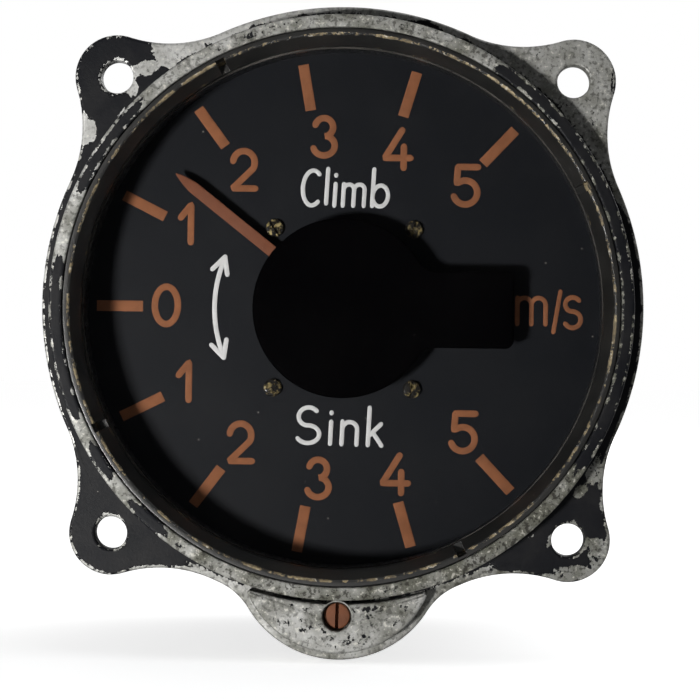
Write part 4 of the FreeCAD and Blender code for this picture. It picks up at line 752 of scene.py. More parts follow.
def paint_loss(x, y, z):
    """How much of the paint is gone at each point, from where hands and panels have rubbed it. Paint kept
    in the corner beside the collar is partly painted shade.
    """
    radius, angle = np.hypot(x, z), np.degrees(np.arctan2(z, x)) % 360
    collar = 0.03 + 0.55 * span_share(angle, BARE_COLLAR, 4)
    flange = 0.08 + 0.64 * span_share(angle, BARE_FLANGE, 4)
    flange = np.maximum(flange, 0.66 * patch_share(x, z, BARE_PATCHES))
    flange = np.where(patch_share(x, z, KEPT_PATCHES) > 0.5, 0.04, flange)
    # Beside the collar the flange keeps more of its paint: a black line along the corner, partly
    # sheltered paint and partly painted shade in the crevice.
    corner = np.clip((radius - COLLAR_RADIUS) / 0.9, 0, 1)
    flange = flange * (0.25 + 0.75 * corner)
    in_boss = np.hypot(x, z + LUG_DROP) < BOSS_RADIUS + 0.2
    in_boss = in_boss & (radius > COLLAR_RADIUS + 0.04) & (y < -0.2)
    # The collar's side keeps its paint too, down into that corner: partly painted shade.
    collar = np.where(y < COLLAR_FRONT + 0.6, collar, 0.1)
    front = np.where(is_collar(radius, y), collar, flange)
    front = np.where(in_boss, 0.62, front)
    return np.where(y > FLANGE_THICK - 0.2, 0.12 + 0.08 * (y > BARREL_BACK - 1), front)


def metal_tone(x, y, z):
    """How bright the bare metal is at each point, 1 bright and 0 dull: partly dirt, and partly painted
    light that is lighter towards the upper left and darker towards the lower right.
    """
    radius, angle = np.hypot(x, z), np.degrees(np.arctan2(z, x)) % 360
    # Painted light: 1 at the upper left, falling to 0 at the lower right.
    lit = 0.5 - 0.5 * np.cos(np.radians(angle - 330))
    collar = is_collar(radius, y)
    tone = np.where(collar, 0.02 + 0.5 * lit, 0.25 + 0.6 * lit)
    return np.where((np.hypot(x, z + LUG_DROP) < LUG_RADIUS) & ~collar, 0.55, tone)


class VSI_OT_case(Operator):
    """Build the case: barrel with its collar, flange with ears, lug, boss and gear house"""
    bl_idname = "vsi.case"
    bl_label = "Case"

    def execute(self, context):
        bevel = context.scene.vsi_sizes.flange_bevel / MM
        skin = Skin()
        # Each corner is (radius, depth, edge value). The collar's face keeps paint between its edges.
        barrel = rounded([
            (COLLAR_RADIUS, COLLAR_FRONT, 1), (COLLAR_RADIUS, COLLAR_BACK, 0),
            (BARREL_RADIUS, COLLAR_BACK, 0), (BARREL_RADIUS, BARREL_BACK, 0.8),
            (BORE_RADIUS, BARREL_BACK, 0), (BORE_RADIUS, LEDGE_BACK, 0), (LEDGE_RADIUS, LEDGE_BACK, 0),
            (LEDGE_RADIUS, LEDGE_FRONT, 0), (BORE_RADIUS, LEDGE_FRONT, 0), (BORE_RADIUS, SEAT_DEPTH, 0),
            (SEAT_RADIUS, SEAT_DEPTH, 0), (SEAT_RADIUS, COLLAR_FRONT, 1),
        ], [0.35, 0.1, 0.1, 0.4, 0.2, 0.2, 0.2, 0.2, 0.2, 0.1, 0.1, 0.3])
        face = [(38.75, COLLAR_FRONT, 0.3), (39.4, COLLAR_FRONT, 0.3)]
        add_turned(skin, np.concatenate([barrel, face]), count=360)
        add_flange(skin, bevel)
        add_boss(skin, bevel)
        add_house(skin)
        piece = make_piece("case_shell", skin, "case_paint", "case", ["case_body"])
        points = np.empty(len(piece.data.vertices) * 3)
        piece.data.vertices.foreach_get("co", points)
        x, y, z = points.reshape(-1, 3).T / MM
        for name, value in (("loss", paint_loss(x, y, z)), ("tone", metal_tone(x, y, z))):
            piece.data.attributes.new(name, "FLOAT", "POINT").data.foreach_set("value", value)
        return {"FINISHED"}


# Front rings and glass

def slot_turns(count=360):
    """Angles round the retaining ring with a pair of columns at each side of its four slots,
    and whether each column lies in a slot."""
    half = math.degrees(math.asin(SLOT_HALF / RING_MOUTH))
    middles = np.arange(4) * 90 + SLOT_TURN
    even = np.arange(0, 360, 360 / count)
    off = np.abs((even[:, None] - middles + 45) % 90 - 45).min(1)
    even = even[off > half + 0.2]
    sides = np.concatenate([middles + side * (half + gap) for side in (-1, 1) for gap in (-0.06, 0.06)])
    inside = np.concatenate([middles + part * half for part in (-0.5, 0, 0.5)])
    turns = np.sort(np.concatenate([even, sides, inside]) % 360)
    off = np.abs((turns[:, None] - middles + 45) % 90 - 45).min(1)
    return np.radians(turns), off < half


class VSI_OT_front_rings(Operator):
    """Build the retaining ring with its spanner slots, the glass and the spacer ring"""
    bl_idname = "vsi.front_rings"
    bl_label = "Front rings and glass"

    def execute(self, context):
        self.retaining_ring()
        self.glass()
        self.spacer()
        return {"FINISHED"}

    def retaining_ring(self):
        """The ring's profile carried round; in a slot its depth is never less than the slot's floor."""
        outer, mouth, inside = np.split(rounded([
            (RING_OUTER, RING_FRONT, 0), (RING_MOUTH, RING_FRONT, 0.95), (WINDOW_RADIUS, RING_LIP, 0.5),
            (WINDOW_RADIUS, GLASS_FRONT, 0), (RING_OUTER, GLASS_FRONT, 0),
        ], [0.1, 0.22, 0.25, 0.05, 0.05]), [5, 10])
        face = [(SLOT_OUTER + 0.02, RING_FRONT, 0), (SLOT_OUTER, RING_FRONT, 0)]
        cone = mouth[-1] + (inside[0] - mouth[-1]) * [[0.1], [0.9]]
        cone[:, 2] = 0
        profile = np.concatenate([outer, face, mouth, cone, inside, outer[:1]])
        radius, depth, edge = profile.T[..., None]
        turn, slotted = slot_turns()
        cut = slotted & (radius <= SLOT_OUTER)
        depth = np.where(cut, np.maximum(depth, SLOT_FLOOR), depth)
        points = np.stack([radius * np.cos(turn), depth, radius * np.sin(turn)], -1)
        skin = Skin().grid(points, wrap=True, edge=np.maximum(edge, 0.4 * cut))
        make_piece("retaining_ring_worn", skin, "ring_metal", "case", ["retaining_ring"])

    def glass(self):
        """A disc with rounded edges. The main light's mirror image is kept off it."""
        edge = edge_profile(GLASS_FRONT, GLASS_BACK, 0.15, 3)
        rows = [(0, GLASS_FRONT), *zip(GLASS_RADIUS - edge[:, 0], edge[:, 1]), (0, GLASS_BACK)]
        skin = add_turned(Skin(), rows, count=256, closed=False)
        piece = make_piece("glass_disc", skin, "clear_glass", "case", ["glass"])
        unlit = bpy.data.collections.new("no_window_glare")
        unlit.objects.link(piece)
        unlit.collection_objects[0].light_linking.link_state = "EXCLUDE"
        bpy.data.objects["window_light"].light_linking.receiver_collection = unlit

    def spacer(self):
        """The deep ring between the glass and the dial."""
        profile = rounded([
            (SPACER_OUTER, SEAT_DEPTH), (WINDOW_RADIUS, SEAT_DEPTH), (WINDOW_RADIUS, DIAL_FRONT),
            (SPACER_OUTER, DIAL_FRONT),
        ], [0.1, 0.25, 0.1, 0.1])
        skin = add_turned(Skin(), profile, count=300)
        make_piece("spacer_ring_smooth", skin, "inner_paint", "case", ["spacer_ring"])


# Dial, its markings and the hub cover

TICK_STEP, TICK_INNER, TICK_OUTER, TICK_HALF = 26.64, 28.2, 34.7, 0.75
NUMERAL_HEIGHT, NUMERAL_STROKE = 5.25, 0.46
ARROW_RADIUS, ARROW_HALF, ARROW_STROKE = 18.1, 21.5, 0.33
# A stroke that crosses another lies this much higher
OVERLAP = 0.004
CLIMB_PLACES = (
    (-24.9, 0.15), (-22.3, 11.7), (-14.2, 19.35), (-3.0, 24.1), (7.35, 22.5), (16.95, 17.45))
SINK_PLACES = ((-22.3, -10.45), (-14.15, -18.95), (-3.2, -23.85), (7.6, -23.1), (17.05, -17.1))


def oval(across, up, wide, tall, start, end, count=22):
    """Part of an ellipse, as glyph coordinates."""
    turn = degrees(start, end, count)
    return np.stack([across + wide * np.cos(turn), up + tall * np.sin(turn)], -1)


def line(*points):
    """Straight strokes through some points."""
    return np.array(points, float)


def joined(*runs):
    """One stroke made of several runs of points."""
    return np.concatenate(runs)


def glyph_strokes():
    """Centre lines of each character's strokes. Its height is 1, and its width is in the same unit."""
    return {
        "0": [oval(0.31, 0.5, 0.31, 0.5, 90, 450, 44)],
        "1": [line((0.0, 0.66), (0.27, 1.0), (0.27, 0.0))],
        "2": [joined(oval(0.31, 0.69, 0.29, 0.31, 172, -32), line((0.02, 0.0), (0.62, 0.0)))],
        "3": [joined(oval(0.28, 0.755, 0.24, 0.245, 165, -80), oval(0.28, 0.265, 0.29, 0.265, 82, -162))],
        "4": [line((0.45, 1.0), (0.0, 0.26), (0.68, 0.26)), line((0.50, 0.56), (0.50, 0.0))],
        "5": [
            joined(line((0.60, 1.0), (0.07, 1.0), (0.04, 0.57)), oval(0.27, 0.32, 0.32, 0.32, 125, -160)),
        ],
        "m": [
            line((0.0, 0.87), (0.0, 0.13)),
            joined(oval(0.20, 0.67, 0.20, 0.20, 180, 0, 12), line((0.40, 0.13))),
            joined(oval(0.60, 0.67, 0.20, 0.20, 180, 0, 12), line((0.80, 0.13))),
        ],
        "/": [line((0.16, 1.0), (0.0, 0.0))],
        "s": [
            joined(oval(0.23, 0.72, 0.21, 0.20, 35, 250, 16), oval(0.23, 0.29, 0.23, 0.23, 80, -150, 18)),
        ],
        "narrow m": [
            line((0.0, 0.62), (0.0, 0.0)),
            joined(oval(0.15, 0.46, 0.15, 0.15, 180, 0, 12), line((0.30, 0.0))),
            joined(oval(0.45, 0.46, 0.15, 0.15, 180, 0, 12), line((0.60, 0.0))),
        ],
        "C": [oval(0.28, 0.5, 0.28, 0.5, 52, 308, 30)],
        "l": [line((0.0, 1.05), (0.0, 0.06))],
        "i": [line((0.0, 0.62), (0.0, 0.0)), line((0.0, 0.86), (0.0, 0.88))],
        "b": [line((0.0, 1.05), (0.0, 0.0)), oval(0.22, 0.29, 0.22, 0.30, 160, -160, 24)],
        "S": [
            joined(
                oval(0.32, 0.745, 0.28, 0.255, 40, 255, 20), oval(0.32, 0.25, 0.32, 0.25, 80, -150, 20)),
        ],
        "n": [
            line((0.0, 0.64), (0.0, 0.0)),
            joined(oval(0.21, 0.42, 0.21, 0.21, 180, 0, 12), line((0.42, 0.0))),
        ],
        "k": [
            line((0.0, 1.05), (0.0, 0.0)), line((0.34, 0.60), (0.02, 0.26)),
            line((0.12, 0.36), (0.38, 0.0)),
        ],
    }


def evenly(path, step):
    """The same path with points at even steps along it."""
    length = np.append(0, np.cumsum(np.linalg.norm(np.diff(path, axis=0), axis=1)))
    count = max(int(math.ceil(length[-1] / step)), 2) + 1
    places = np.linspace(0, length[-1], count)
    return np.stack([np.interp(places, length, path[:, i]) for i in (0, 1)], -1)


def ribbon(path, half, rise, depth):
    """A painted stroke: a low crown carried along a path.

    Across the stroke the paint rises by the rise times one minus the fourth power of the
    share of the half width. Towards both ends the half width falls like a circle's chord.
    """
    path = evenly(path, half / 4)
    along = np.gradient(path, axis=0)
    along = along / np.maximum(np.linalg.norm(along, axis=1, keepdims=True), 1e-9)
    side = np.stack([-along[:, 1], along[:, 0]], -1)
    before = path[0] - along[0] * half * [[0.98], [0.7]]
    after = path[-1] + along[-1] * half * [[0.7], [0.98]]
    count = len(path)
    path = np.concatenate([before, path, after])
    side = np.concatenate([side[:1], side[:1], side, side[-1:], side[-1:]])
    width = np.concatenate([[0.2, 0.71], np.ones(count), [0.71, 0.2]]) * half
    share = np.array([-1, -0.86, -0.5, 0, 0.5, 0.86, 1])
    across = path[None] + side[None] * (width[None, :, None] * share[:, None, None])
    crown = (1 - np.abs(share) ** 4)[:, None] * rise * (width / half)[None, :]
    return flat(across, depth - crown)


def write(skin, text, centre, height, half, gap=0.0, slant=0.0, drop=0.0, rise=0.06):
    """Strokes of a row of glyphs about its centre. The gap parts them."""
    glyphs = glyph_strokes()
    boxes = [np.concatenate(glyphs[c]) for c in text]
    widths = [box[:, 0].max() - box[:, 0].min() for box in boxes]
    total = sum(widths) + gap * (len(text) - 1)
    start = -total / 2
    for character, box, width in zip(text, boxes, widths):
        for k, stroke in enumerate(glyphs[character]):
            x = stroke[:, 0] - box[:, 0].min() + start
            z = stroke[:, 1] - 0.5
            x = x + slant * z
            path = np.stack([x, z + drop * x], -1) * height + centre
            skin.grid(ribbon(path, half, rise, DIAL_FRONT - OVERLAP * k))
        start += width + gap


class VSI_OT_dial(Operator):
    """Build the dial disc"""
    bl_idname = "vsi.dial"
    bl_label = "Dial"

    def execute(self, context):
        profile = rounded([
            (DIAL_BORE, DIAL_FRONT), (DIAL_RADIUS, DIAL_FRONT), (DIAL_RADIUS, DIAL_BACK),
            (DIAL_BORE, DIAL_BACK),
        ], 0.08)
        skin = add_turned(Skin(), profile, count=256)
        make_piece("dial_plate", skin, "dial_paint", "case", ["dial"])
        return {"FINISHED"}


class VSI_OT_markings(Operator):
    """Paint the scale's ticks and numerals, the unit, the two labels and the arc arrow"""
    bl_idname = "vsi.markings"
    bl_label = "Dial markings"

    def execute(self, context):
        self.scale()
        self.labels()
        return {"FINISHED"}

    def scale(self):
        """Eleven ticks with their numerals, and the unit at the right."""
        skin = Skin()
        for reading in range(-5, 6):
            turn = math.radians(180 - reading * TICK_STEP)
            path = np.array([[TICK_INNER], [TICK_OUTER]]) * [math.cos(turn), math.sin(turn)]
            skin.grid(self.tick(path))
        for first, places in ((0, CLIMB_PLACES), (1, SINK_PLACES)):
            for reading, centre in enumerate(places, first):
                write(skin, str(reading), centre, NUMERAL_HEIGHT, NUMERAL_STROKE)
        write(skin, "m", (26.35, 0.02), 4.95, 0.32)
        write(skin, "/", (29.9, -0.06), 5.7, 0.30)
        write(skin, "s", (32.15, -0.08), 4.95, 0.33)
        make_piece("scale_marks", skin, "lume", "case", closed=False)

    def tick(self, path):
        """A square-ended mark: a low crown carried straight out from the centre."""
        path = evenly(path, 0.5)
        along = (path[-1] - path[0]) / np.linalg.norm(path[-1] - path[0])
        side = np.array([-along[1], along[0]])
        share = np.array([-1, -0.9, -0.6, 0, 0.6, 0.9, 1])
        across = path[None] + side * (TICK_HALF * share)[:, None, None]
        ends = np.ones(len(path))
        ends[0] = ends[-1] = 0
        crown = (1 - np.abs(share) ** 6)[:, None] * ends[None, :]
        return flat(across, DIAL_FRONT - 0.01 - 0.07 * crown)

    def labels(self):
        """The words for up and down, and the arrow between them on the left."""
        skin = Skin()
        write(skin, ("C", "l", "i", "narrow m", "b"), (0.1, 16.9), 4.9, 0.3, gap=0.24, slant=0.05)
        write(skin, "Sink", (-0.2, -16.5), 5.0, 0.31, gap=0.32, slant=0.04, drop=-0.02)
        shaft = arc(0, 0, ARROW_RADIUS, 180 - ARROW_HALF, 180 + ARROW_HALF, 30)
        skin.grid(ribbon(shaft, ARROW_STROKE, 0.05, DIAL_FRONT))
        for end, sign in ((shaft[0], 1), (shaft[-1], -1)):
            tip = end + np.array([0.12, 0.45 * sign])
            for k, (across, down) in enumerate(((-1.75, 1.75), (0.35, 2.5)), 1):
                barb = line(tip, tip + [across, -down * sign])
                skin.grid(ribbon(barb, ARROW_STROKE, 0.05, DIAL_FRONT - OVERLAP * k))
        make_piece("label_marks", skin, "lettering", "case", closed=False)


def cover_outline():
    """The keyhole shape: a disc, a small arc at each side of the neck, and an arm with round corners."""
    up = COVER_ARM_HALF + COVER_NECK
    across = math.sqrt((COVER_RADIUS + COVER_NECK) ** 2 - up ** 2)
    lean = math.degrees(math.atan2(up, across))
    arm_end = COVER_ARM_END - COVER_CORNER
    corner = arc(arm_end, COVER_ARM_HALF - COVER_CORNER, COVER_CORNER, 0, 90, 10)
    straight = np.linspace((arm_end, COVER_ARM_HALF), (across, COVER_ARM_HALF), 20)[1:-1]
    neck = arc(across, up, COVER_NECK, -90, -180 + lean, 12)
    disc = arc(0, 0, COVER_RADIUS, lean, 180, 80)[1:]
    upper = np.concatenate([corner, straight, neck, disc])
    lower = upper[::-1][1:] * [1, -1]
    return np.concatenate([upper, lower])


class VSI_OT_cover(Operator):
    """Build the keyhole-shaped cover over the hub"""
    bl_idname = "vsi.cover"
    bl_label = "Hub cover"

    def execute(self, context):
        outline = cover_outline()
        bevel = context.scene.vsi_sizes.cover_bevel / MM
        skin = Skin()
        skin.grid(rim(outline, edge_profile(COVER_FRONT, COVER_BACK, bevel)), wrap=True, edge=1.0)
        border = outline - outward(outline) * bevel
        shares = np.array([0, 0.25, 0.5, 0.75, 0.93, 1])
        for depth in (COVER_FRONT, COVER_BACK):
            skin.grid(bridge(np.zeros_like(border), border, shares, depth), wrap=True)
        make_piece("hub_cover", skin, "cover_paint", "case", ["pointer_cover"])
        return {"FINISHED"}


class VSI_OT_pointer(Operator):
    """Build the pointer at its rest reading"""
    bl_idname = "vsi.pointer"
    bl_label = "Pointer"

    def execute(self, context):
        sizes = context.scene.vsi_sizes
        half, point = sizes.pointer_width / 2 / MM, sizes.pointer_point / MM
        along = np.concatenate([
            np.linspace(-POINTER_TAIL, 0, 8), np.linspace(1, POINTER_TIP - point, 30),
            POINTER_TIP - point * np.linspace(0.85, 0, 8),
        ])
        left = np.clip((POINTER_TIP - along) / point, 0.02, 1)
        width = half * np.where(along < 0, 1 + 0.9 * (-along / POINTER_TAIL) ** 2, left ** 0.6)
        turn = degrees(0, 360, 28, closed=True)
        # The section is a squared oval: both its axes are raised to the power 0.35
        side = np.sign(np.cos(turn)) * np.abs(np.cos(turn)) ** 0.35
        lift = np.sign(np.sin(turn)) * np.abs(np.sin(turn)) ** 0.35
        middle, thick = (POINTER_FRONT + POINTER_BACK) / 2, (POINTER_BACK - POINTER_FRONT) / 2
        points = np.stack(np.broadcast_arrays(
            -along[:, None], middle + thick * lift, width[:, None] * side), -1)
        ends = [np.broadcast_to(row.mean(0), row.shape) for row in (points[0], points[-1])]
        points = np.concatenate([ends[0][None], points, ends[1][None]])
        skin = Skin().grid(turn_by(points, REST_READING), wrap=True)
        inner, outer = POINTER_HUB
        add_turned(skin, [
            (inner, POINTER_FRONT), (outer, POINTER_FRONT), (outer, POINTER_BACK), (inner, POINTER_BACK),
        ], count=48)
        make_piece("pointer_blade", skin, "pointer_paint", "pointer", ["pointer"])
        return {"FINISHED"}


# Screws and the adjuster

def slotted_head(across, up, radius, front, height, slot, depth, angle=0.0, facing=1, dome=0.0):
    """A slotted screw head as one grid.

    Columns run across the head and rows round each column's section. Near the rim the face
    falls away like a circle's arc, and between the slot's two sides it is sunk by the depth.
    """
    soft = radius * 0.14
    half = slot / 2
    outer = radius * np.sin(degrees(-90, 90, 31))
    outer = outer[np.abs(outer) > half + 0.03]
    sides = np.array([-half - 0.02, -half + 0.02, 0, half - 0.02, half + 0.02])
    columns = np.sort(np.concatenate([outer, sides]))
    span = np.sin(degrees(-90, 90, 25))
    chord = np.sqrt(np.maximum(radius ** 2 - columns ** 2, 0))
    z = chord[:, None] * span[None, :]
    x = np.broadcast_to(columns[:, None], z.shape)
    far = np.hypot(x, z)
    near = np.clip((far - (radius - soft)) / soft, 0, 1)
    top = soft * (1 - np.sqrt(1 - near ** 2)) + dome * (far / radius) ** 2
    top = top + depth * (np.abs(x) < half)
    low = np.full_like(z[:, :1], height)
    section = np.concatenate([top, low, low], axis=1)
    x = np.concatenate([x, x[:, -1:], x[:, :1]], axis=1)
    z = np.concatenate([z, z[:, -1:], z[:, :1]], axis=1)
    return turn_by(np.stack([x, section, z], -1), angle) * [1, facing, 1] + [across, front, up]


class VSI_OT_adjuster(Operator):
    """Build the slotted zero adjuster in the lug"""
    bl_idname = "vsi.adjuster"
    bl_label = "Zero adjuster"

    def execute(self, context):
        skin = Skin().grid(slotted_head(
            0, -ADJUSTER_DROP, ADJUSTER_HEAD, ADJUSTER_FRONT, ADJUSTER_BACK - ADJUSTER_FRONT,
            slot=0.42, depth=0.9, angle=1, dome=0.12), wrap=True)
        stem = [
            (0, ADJUSTER_BACK - 0.2), (ADJUSTER_STEM, ADJUSTER_BACK - 0.2),
            (ADJUSTER_STEM, ADJUSTER_END - 0.1), (ADJUSTER_STEM - 0.1, ADJUSTER_END), (0, ADJUSTER_END),
        ]
        add_turned(skin, stem, up=-ADJUSTER_DROP, count=32, closed=False)
        make_piece(
            "adjuster_screw", skin, "adjuster_metal", "adjuster", ["zero_adjuster"])
        return {"FINISHED"}


class VSI_OT_screws(Operator):
    """Build the slotted heads on the dial and on the rear cover"""
    bl_idname = "vsi.screws"
    bl_label = "Screws"

    def execute(self, context):
        skin = self.heads(
            DIAL_SCREW_X, DIAL_SCREW_Z, (20, -35, 62, 8), radius=DIAL_SCREW_HEAD, slot=0.35, depth=0.32,
            front=DIAL_FRONT - DIAL_SCREW_HEIGHT, height=DIAL_SCREW_HEIGHT, dome=0.12)
        make_piece("dial_screw_heads", skin, "dial_fasteners", "case", ["dial_screws"])
        skin = self.heads(
            REAR_SCREW_PLACE, REAR_SCREW_PLACE, (75, 15, 40, -20), radius=REAR_SCREW_HEAD, slot=0.5,
            depth=0.7, front=REAR_BACK + REAR_SCREW_HEIGHT, height=REAR_SCREW_HEIGHT + 0.2, facing=-1,
            dome=0.3)
        make_piece("rear_screw_heads", skin, "worn_steel", "case", ["rear_cover_screws"])
        return {"FINISHED"}

    def heads(self, across, up, angles, **head):
        """Four slotted heads, one in each corner, with their slots at their own angles."""
        skin = Skin()
        for (i, j), angle in zip(CORNERS, angles):
            skin.grid(slotted_head(i * across, j * up, angle=angle, **head), wrap=True)
        return skin


# Rear cover and unions

class VSI_OT_rear(Operator):
    """Build the rear cover and the two pipe unions"""
    bl_idname = "vsi.rear"
    bl_label = "Rear cover and unions"

    def execute(self, context):
        cover = rounded([
            (0, REAR_FRONT, 0), (BARREL_RADIUS, REAR_FRONT, 0), (BARREL_RADIUS, REAR_BACK - REAR_EDGE, 1),
            (BARREL_RADIUS - REAR_EDGE, REAR_BACK, 1), (0, REAR_BACK, 0),
        ], [0, 0.1, 0.3, 0.3, 0])
        skin = add_turned(Skin(), cover, count=300, closed=False)
        make_piece("rear_cover_smooth", skin, "rear_paint", "case", ["rear_cover"])
        for side, x in (("static", -UNION_X), ("flask", UNION_X)):
            skin = Skin()
            pipe = rounded([
                (UNION_BORE, HEX_BACK - 0.5), (UNION_RADIUS, HEX_BACK - 0.5), (UNION_RADIUS, UNION_END),
                (UNION_BORE, UNION_END),
            ], [0.05, 0.05, 0.7, 0.3])
            add_turned(skin, pipe, across=x, count=96, edge=0.3)
            self.hexagon(skin, np.array([x, 0.0]))
            make_piece(
                f"{side}_union_turned", skin, "union_metal", "case", [f"{side}_union"])
        return {"FINISHED"}

    def hexagon(self, skin, centre):
        """A hexagon whose corners are turned down at both ends, as a nut's are."""
        outline = evenly_round(arc(0, 0, HEX_CORNER, 0, 300, 6), 0.5)
        skin.grid(np.stack([flat(centre + outline * share, depth) for share, depth in (
            (0, HEX_FRONT), (0.86, HEX_FRONT), (1, HEX_FRONT + HEX_INSET), (1, HEX_BACK - HEX_INSET),
            (0.86, HEX_BACK), (0, HEX_BACK))]), wrap=True, edge=0.4)


def evenly_round(corners, radius):
    """A closed outline with rounded corners and some points along each side."""
    outline = rounded(corners, radius, 3)
    return evenly(np.concatenate([outline, outline[:1]]), 0.5)[:-1]


# Inner pieces keep their solids and get their finishes

class VSI_OT_inner_finishes(Operator):
    """Give the solids that stay, most of them inside the case, their finishes"""
    bl_idname = "vsi.inner_finishes"
    bl_label = "Inner finishes"

    def execute(self, context):
        for part in frame["record"]["subparts"]:
            node = NODES[part["node"]]
            slot = part["material_slot"]
            node.data.materials.clear()
            node.data.materials.append(finish_named("inner_paint" if slot == "case_paint" else slot))
        return {"FINISHED"}


# Camera, lamps, world and floor

class VSI_OT_stage(Operator):
    """Set up the camera, the lamps, the pale world and the floor"""
    bl_idname = "vsi.stage"
    bl_label = "Stage"

    def execute(self, context):
        scene = context.scene
        scene.view_settings.view_transform = "Standard"
        self.camera(scene)
        self.lamps(scene)
        self.world(scene)
        self.floor(scene)
        return {"FINISHED"}

    def camera(self, scene):
        """A long lens near the dial's axis, a little to the right and below, and turned in."""
        data = bpy.data.cameras.new("camera")
        data.lens, data.sensor_width, data.sensor_fit = 130.8, 36.0, "HORIZONTAL"
        data.clip_start, data.clip_end = 0.01, 20.0
        camera = bpy.data.objects.new("camera", data)
        scene.collection.objects.link(camera)
        yaw, pitch, roll = 0.0337, 0.0044, -0.0137
        turn = (Matrix.Rotation(yaw, 4, "Z") @ Matrix.Rotation(pitch, 4, "X")
                @ Matrix.Rotation(roll, 4, "Y") @ Matrix.Rotation(math.pi / 2, 4, "X"))
        camera.matrix_world = Matrix.Translation((0.01304, -0.35, -0.00735)) @ turn
        scene.camera = camera

    def lamp(self, scene, name, place, size, power, colour, aim=(0, 0, 0), spread_angle=180):
        """A round lamp that the camera doesn't see, aimed at a point."""
        data = bpy.data.lights.new(name, "AREA")
        data.shape, data.size, data.energy, data.color = "DISK", size, power, colour
        data.spread = math.radians(spread_angle)
        lamp = bpy.data.objects.new(name, data)
        lamp.visible_camera = False
        scene.collection.objects.link(lamp)
        way = Vector(aim) - Vector(place)
        lamp.matrix_world = Matrix.Translation(place) @ way.to_track_quat("-Z", "Y").to_matrix().to_4x4()

    def lamps(self, scene):
        """A soft main light from the front left and a little below, and two weak fills."""
        self.lamp(
            scene, "window_light", (-0.30, -0.52, -0.15), 0.11, 0.125, (1.0, 0.99, 0.97),
            aim=(-0.03, 0, 0), spread_angle=26)
        self.lamp(scene, "top_fill", (0.25, -0.25, 0.9), 0.8, 1.2, (0.94, 0.97, 1.0))
        self.lamp(scene, "rear_fill", (0.5, 0.9, 0.5), 0.8, 4.0, (1.0, 1.0, 1.0))

    def world(self, scene):
        """White where the camera sees it. As a light it is dimmer, and weakest on the viewer's side."""
        world = bpy.data.worlds.new("pale_world")
        scene.world = world
        world.use_nodes = True
        tree = world.node_tree
        rays = add_node(tree, "ShaderNodeLightPath").outputs
        place = add_node(tree, "ShaderNodeTexCoord").outputs["Generated"]
        depth = add_node(tree, "ShaderNodeSeparateXYZ", {0: place}).outputs["Y"]
        behind = spread(tree, depth, -0.8, 0.3, 0.02, 1.0)
        mirrored = math_node(tree, "MULTIPLY", rays["Is Glossy Ray"], behind)
        dim = math_node(tree, "MULTIPLY_ADD", behind, 0.4, 0.04)
        seen = math_node(tree, "MAXIMUM", rays["Is Camera Ray"], rays["Is Transmission Ray"])
        strength = math_node(tree, "MAXIMUM", math_node(tree, "MAXIMUM", seen, mirrored), dim)
        background = tree.nodes["Background"]
        background.inputs["Color"].default_value = (1, 1, 1, 1)
        tree.links.new(strength, background.inputs["Strength"])

    def floor(self, scene):
        """A wide flat floor under the lug, white to the camera but for the object's shadow."""
        x, y = np.meshgrid([-4.0, 4.0], [-0.12, 4.0], indexing="ij")
        points = np.stack([x, y, np.full_like(x, CAD_BOX[0][2] - 0.0002)], -1).reshape(-1, 3)
        mesh = bpy.data.meshes.new("floor")
        mesh.from_pydata(points.tolist(), [], [(0, 2, 3, 1)])
        floor = bpy.data.objects.new("floor", mesh)
        scene.collection.objects.link(floor)
        material, tree, shader = new_material("floor")
        link_all(tree, shader, Base_Color=(0.9, 0.9, 0.9, 1), Roughness=0.9, Specular_IOR_Level=0.0)
        rays = add_node(tree, "ShaderNodeLightPath").outputs
        glow = math_node(tree, "MULTIPLY", rays["Is Camera Ray"], 0.72)
        link_all(tree, shader, Emission_Color=(1, 1, 1, 1), Emission_Strength=glow)
        mesh.materials.append(material)
        floor.visible_shadow = False


# What a user can change

class VsiSizes(PropertyGroup):
    """Sizes that a user can change"""
    flange_bevel: FloatProperty(
        name="Flange edge", description="How far the edges of the flange and boss are rounded",
        default=0.35 * MM, min=0.1 * MM, max=1.0 * MM, unit="LENGTH", precision=5)
    cover_bevel: FloatProperty(
        name="Cover edge", description="How far the hub cover's edge is rounded",
        default=0.3 * MM, min=0.1 * MM, max=0.45 * MM, unit="LENGTH", precision=5)
    pointer_width: FloatProperty(
        name="Pointer width", description="Width of the pointer's blade",
        default=1.65 * MM, min=0.8 * MM, max=3.0 * MM, unit="LENGTH", precision=5)
    pointer_point: FloatProperty(
        name="Pointer point", description="Length over which the pointer narrows to its tip",
        default=3.0 * MM, min=0.5 * MM, max=8.0 * MM, unit="LENGTH", precision=5)


def colour_property(name, description, default):
    """A colour that a user can change."""
    return FloatVectorProperty(
        name=name, description=description, default=default, subtype="COLOR", size=3, min=0.0, max=1.0)


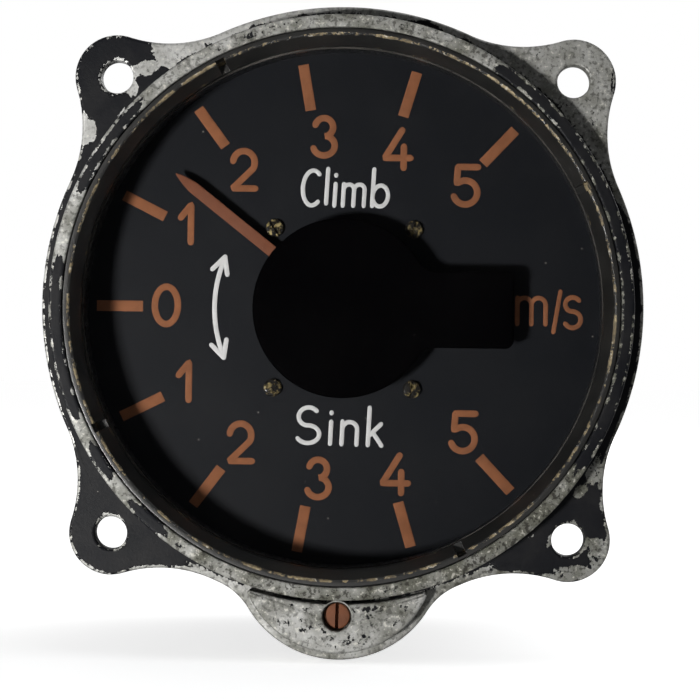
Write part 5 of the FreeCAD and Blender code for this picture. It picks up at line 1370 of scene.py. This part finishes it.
class VsiColours(PropertyGroup):
    """Colours of the finishes"""
    enamel: colour_property("Enamel", "Black paint of the case", (0.0040, 0.0045, 0.0064))
    bare_metal: colour_property("Bare metal", "Cast metal where the paint is gone", (0.42, 0.42, 0.41))
    # On the case's bare metal this colour also stands for painted shade, towards the lower right.
    dirt: colour_property("Dirt", "Dull film on the oldest bare metal", (0.115, 0.115, 0.095))
    dial: colour_property("Dial", "Matt paint of the dial", (0.0068, 0.0078, 0.0102))
    cover: colour_property("Cover", "Matt paint of the hub cover", (0.0005, 0.0004, 0.0007))
    lume: colour_property("Lume", "Aged paint of the ticks and numerals", (0.245, 0.094, 0.042))
    pointer: colour_property("Pointer", "Aged paint of the pointer", (0.172, 0.060, 0.030))
    lettering: colour_property("Lettering", "Paint of the labels and the arrow", (0.64, 0.64, 0.64))
    adjuster: colour_property("Adjuster", "Oxidised metal of the zero adjuster", (0.135, 0.048, 0.021))


BUILDERS = (
    VSI_OT_stage, VSI_OT_inner_finishes, VSI_OT_case, VSI_OT_front_rings, VSI_OT_dial, VSI_OT_markings,
    VSI_OT_cover, VSI_OT_pointer, VSI_OT_adjuster, VSI_OT_screws, VSI_OT_rear,
)


class VSI_PT_panel(Panel):
    """Sizes, colours and the pieces of the instrument"""
    bl_idname = "VSI_PT_panel"
    bl_label = "Vertical speed indicator"
    bl_space_type = "VIEW_3D"
    bl_region_type = "UI"
    bl_category = "Instrument"

    def draw(self, context):
        for group in (context.scene.vsi_sizes, context.scene.vsi_colours):
            for name in group.bl_rna.properties.keys():
                if name not in ("rna_type", "name"):
                    self.layout.prop(group, name)
        for builder in BUILDERS:
            self.layout.operator(builder.bl_idname)


CLASSES = (VsiSizes, VsiColours, *BUILDERS, VSI_PT_panel)


def register():
    """Make the classes and the scene's settings known."""
    for item in CLASSES:
        bpy.utils.register_class(item)
    bpy.types.Scene.vsi_sizes = PointerProperty(type=VsiSizes)
    bpy.types.Scene.vsi_colours = PointerProperty(type=VsiColours)


def unregister():
    """Take the settings and the classes away again."""
    del bpy.types.Scene.vsi_sizes, bpy.types.Scene.vsi_colours
    for item in reversed(CLASSES):
        bpy.utils.unregister_class(item)


def main():
    """Build every piece in order."""
    register()
    for builder in BUILDERS:
        group, name = builder.bl_idname.split(".")
        getattr(getattr(bpy.ops, group), name)()
    bpy.context.view_layer.update()


if __name__ == "__main__":
    main()
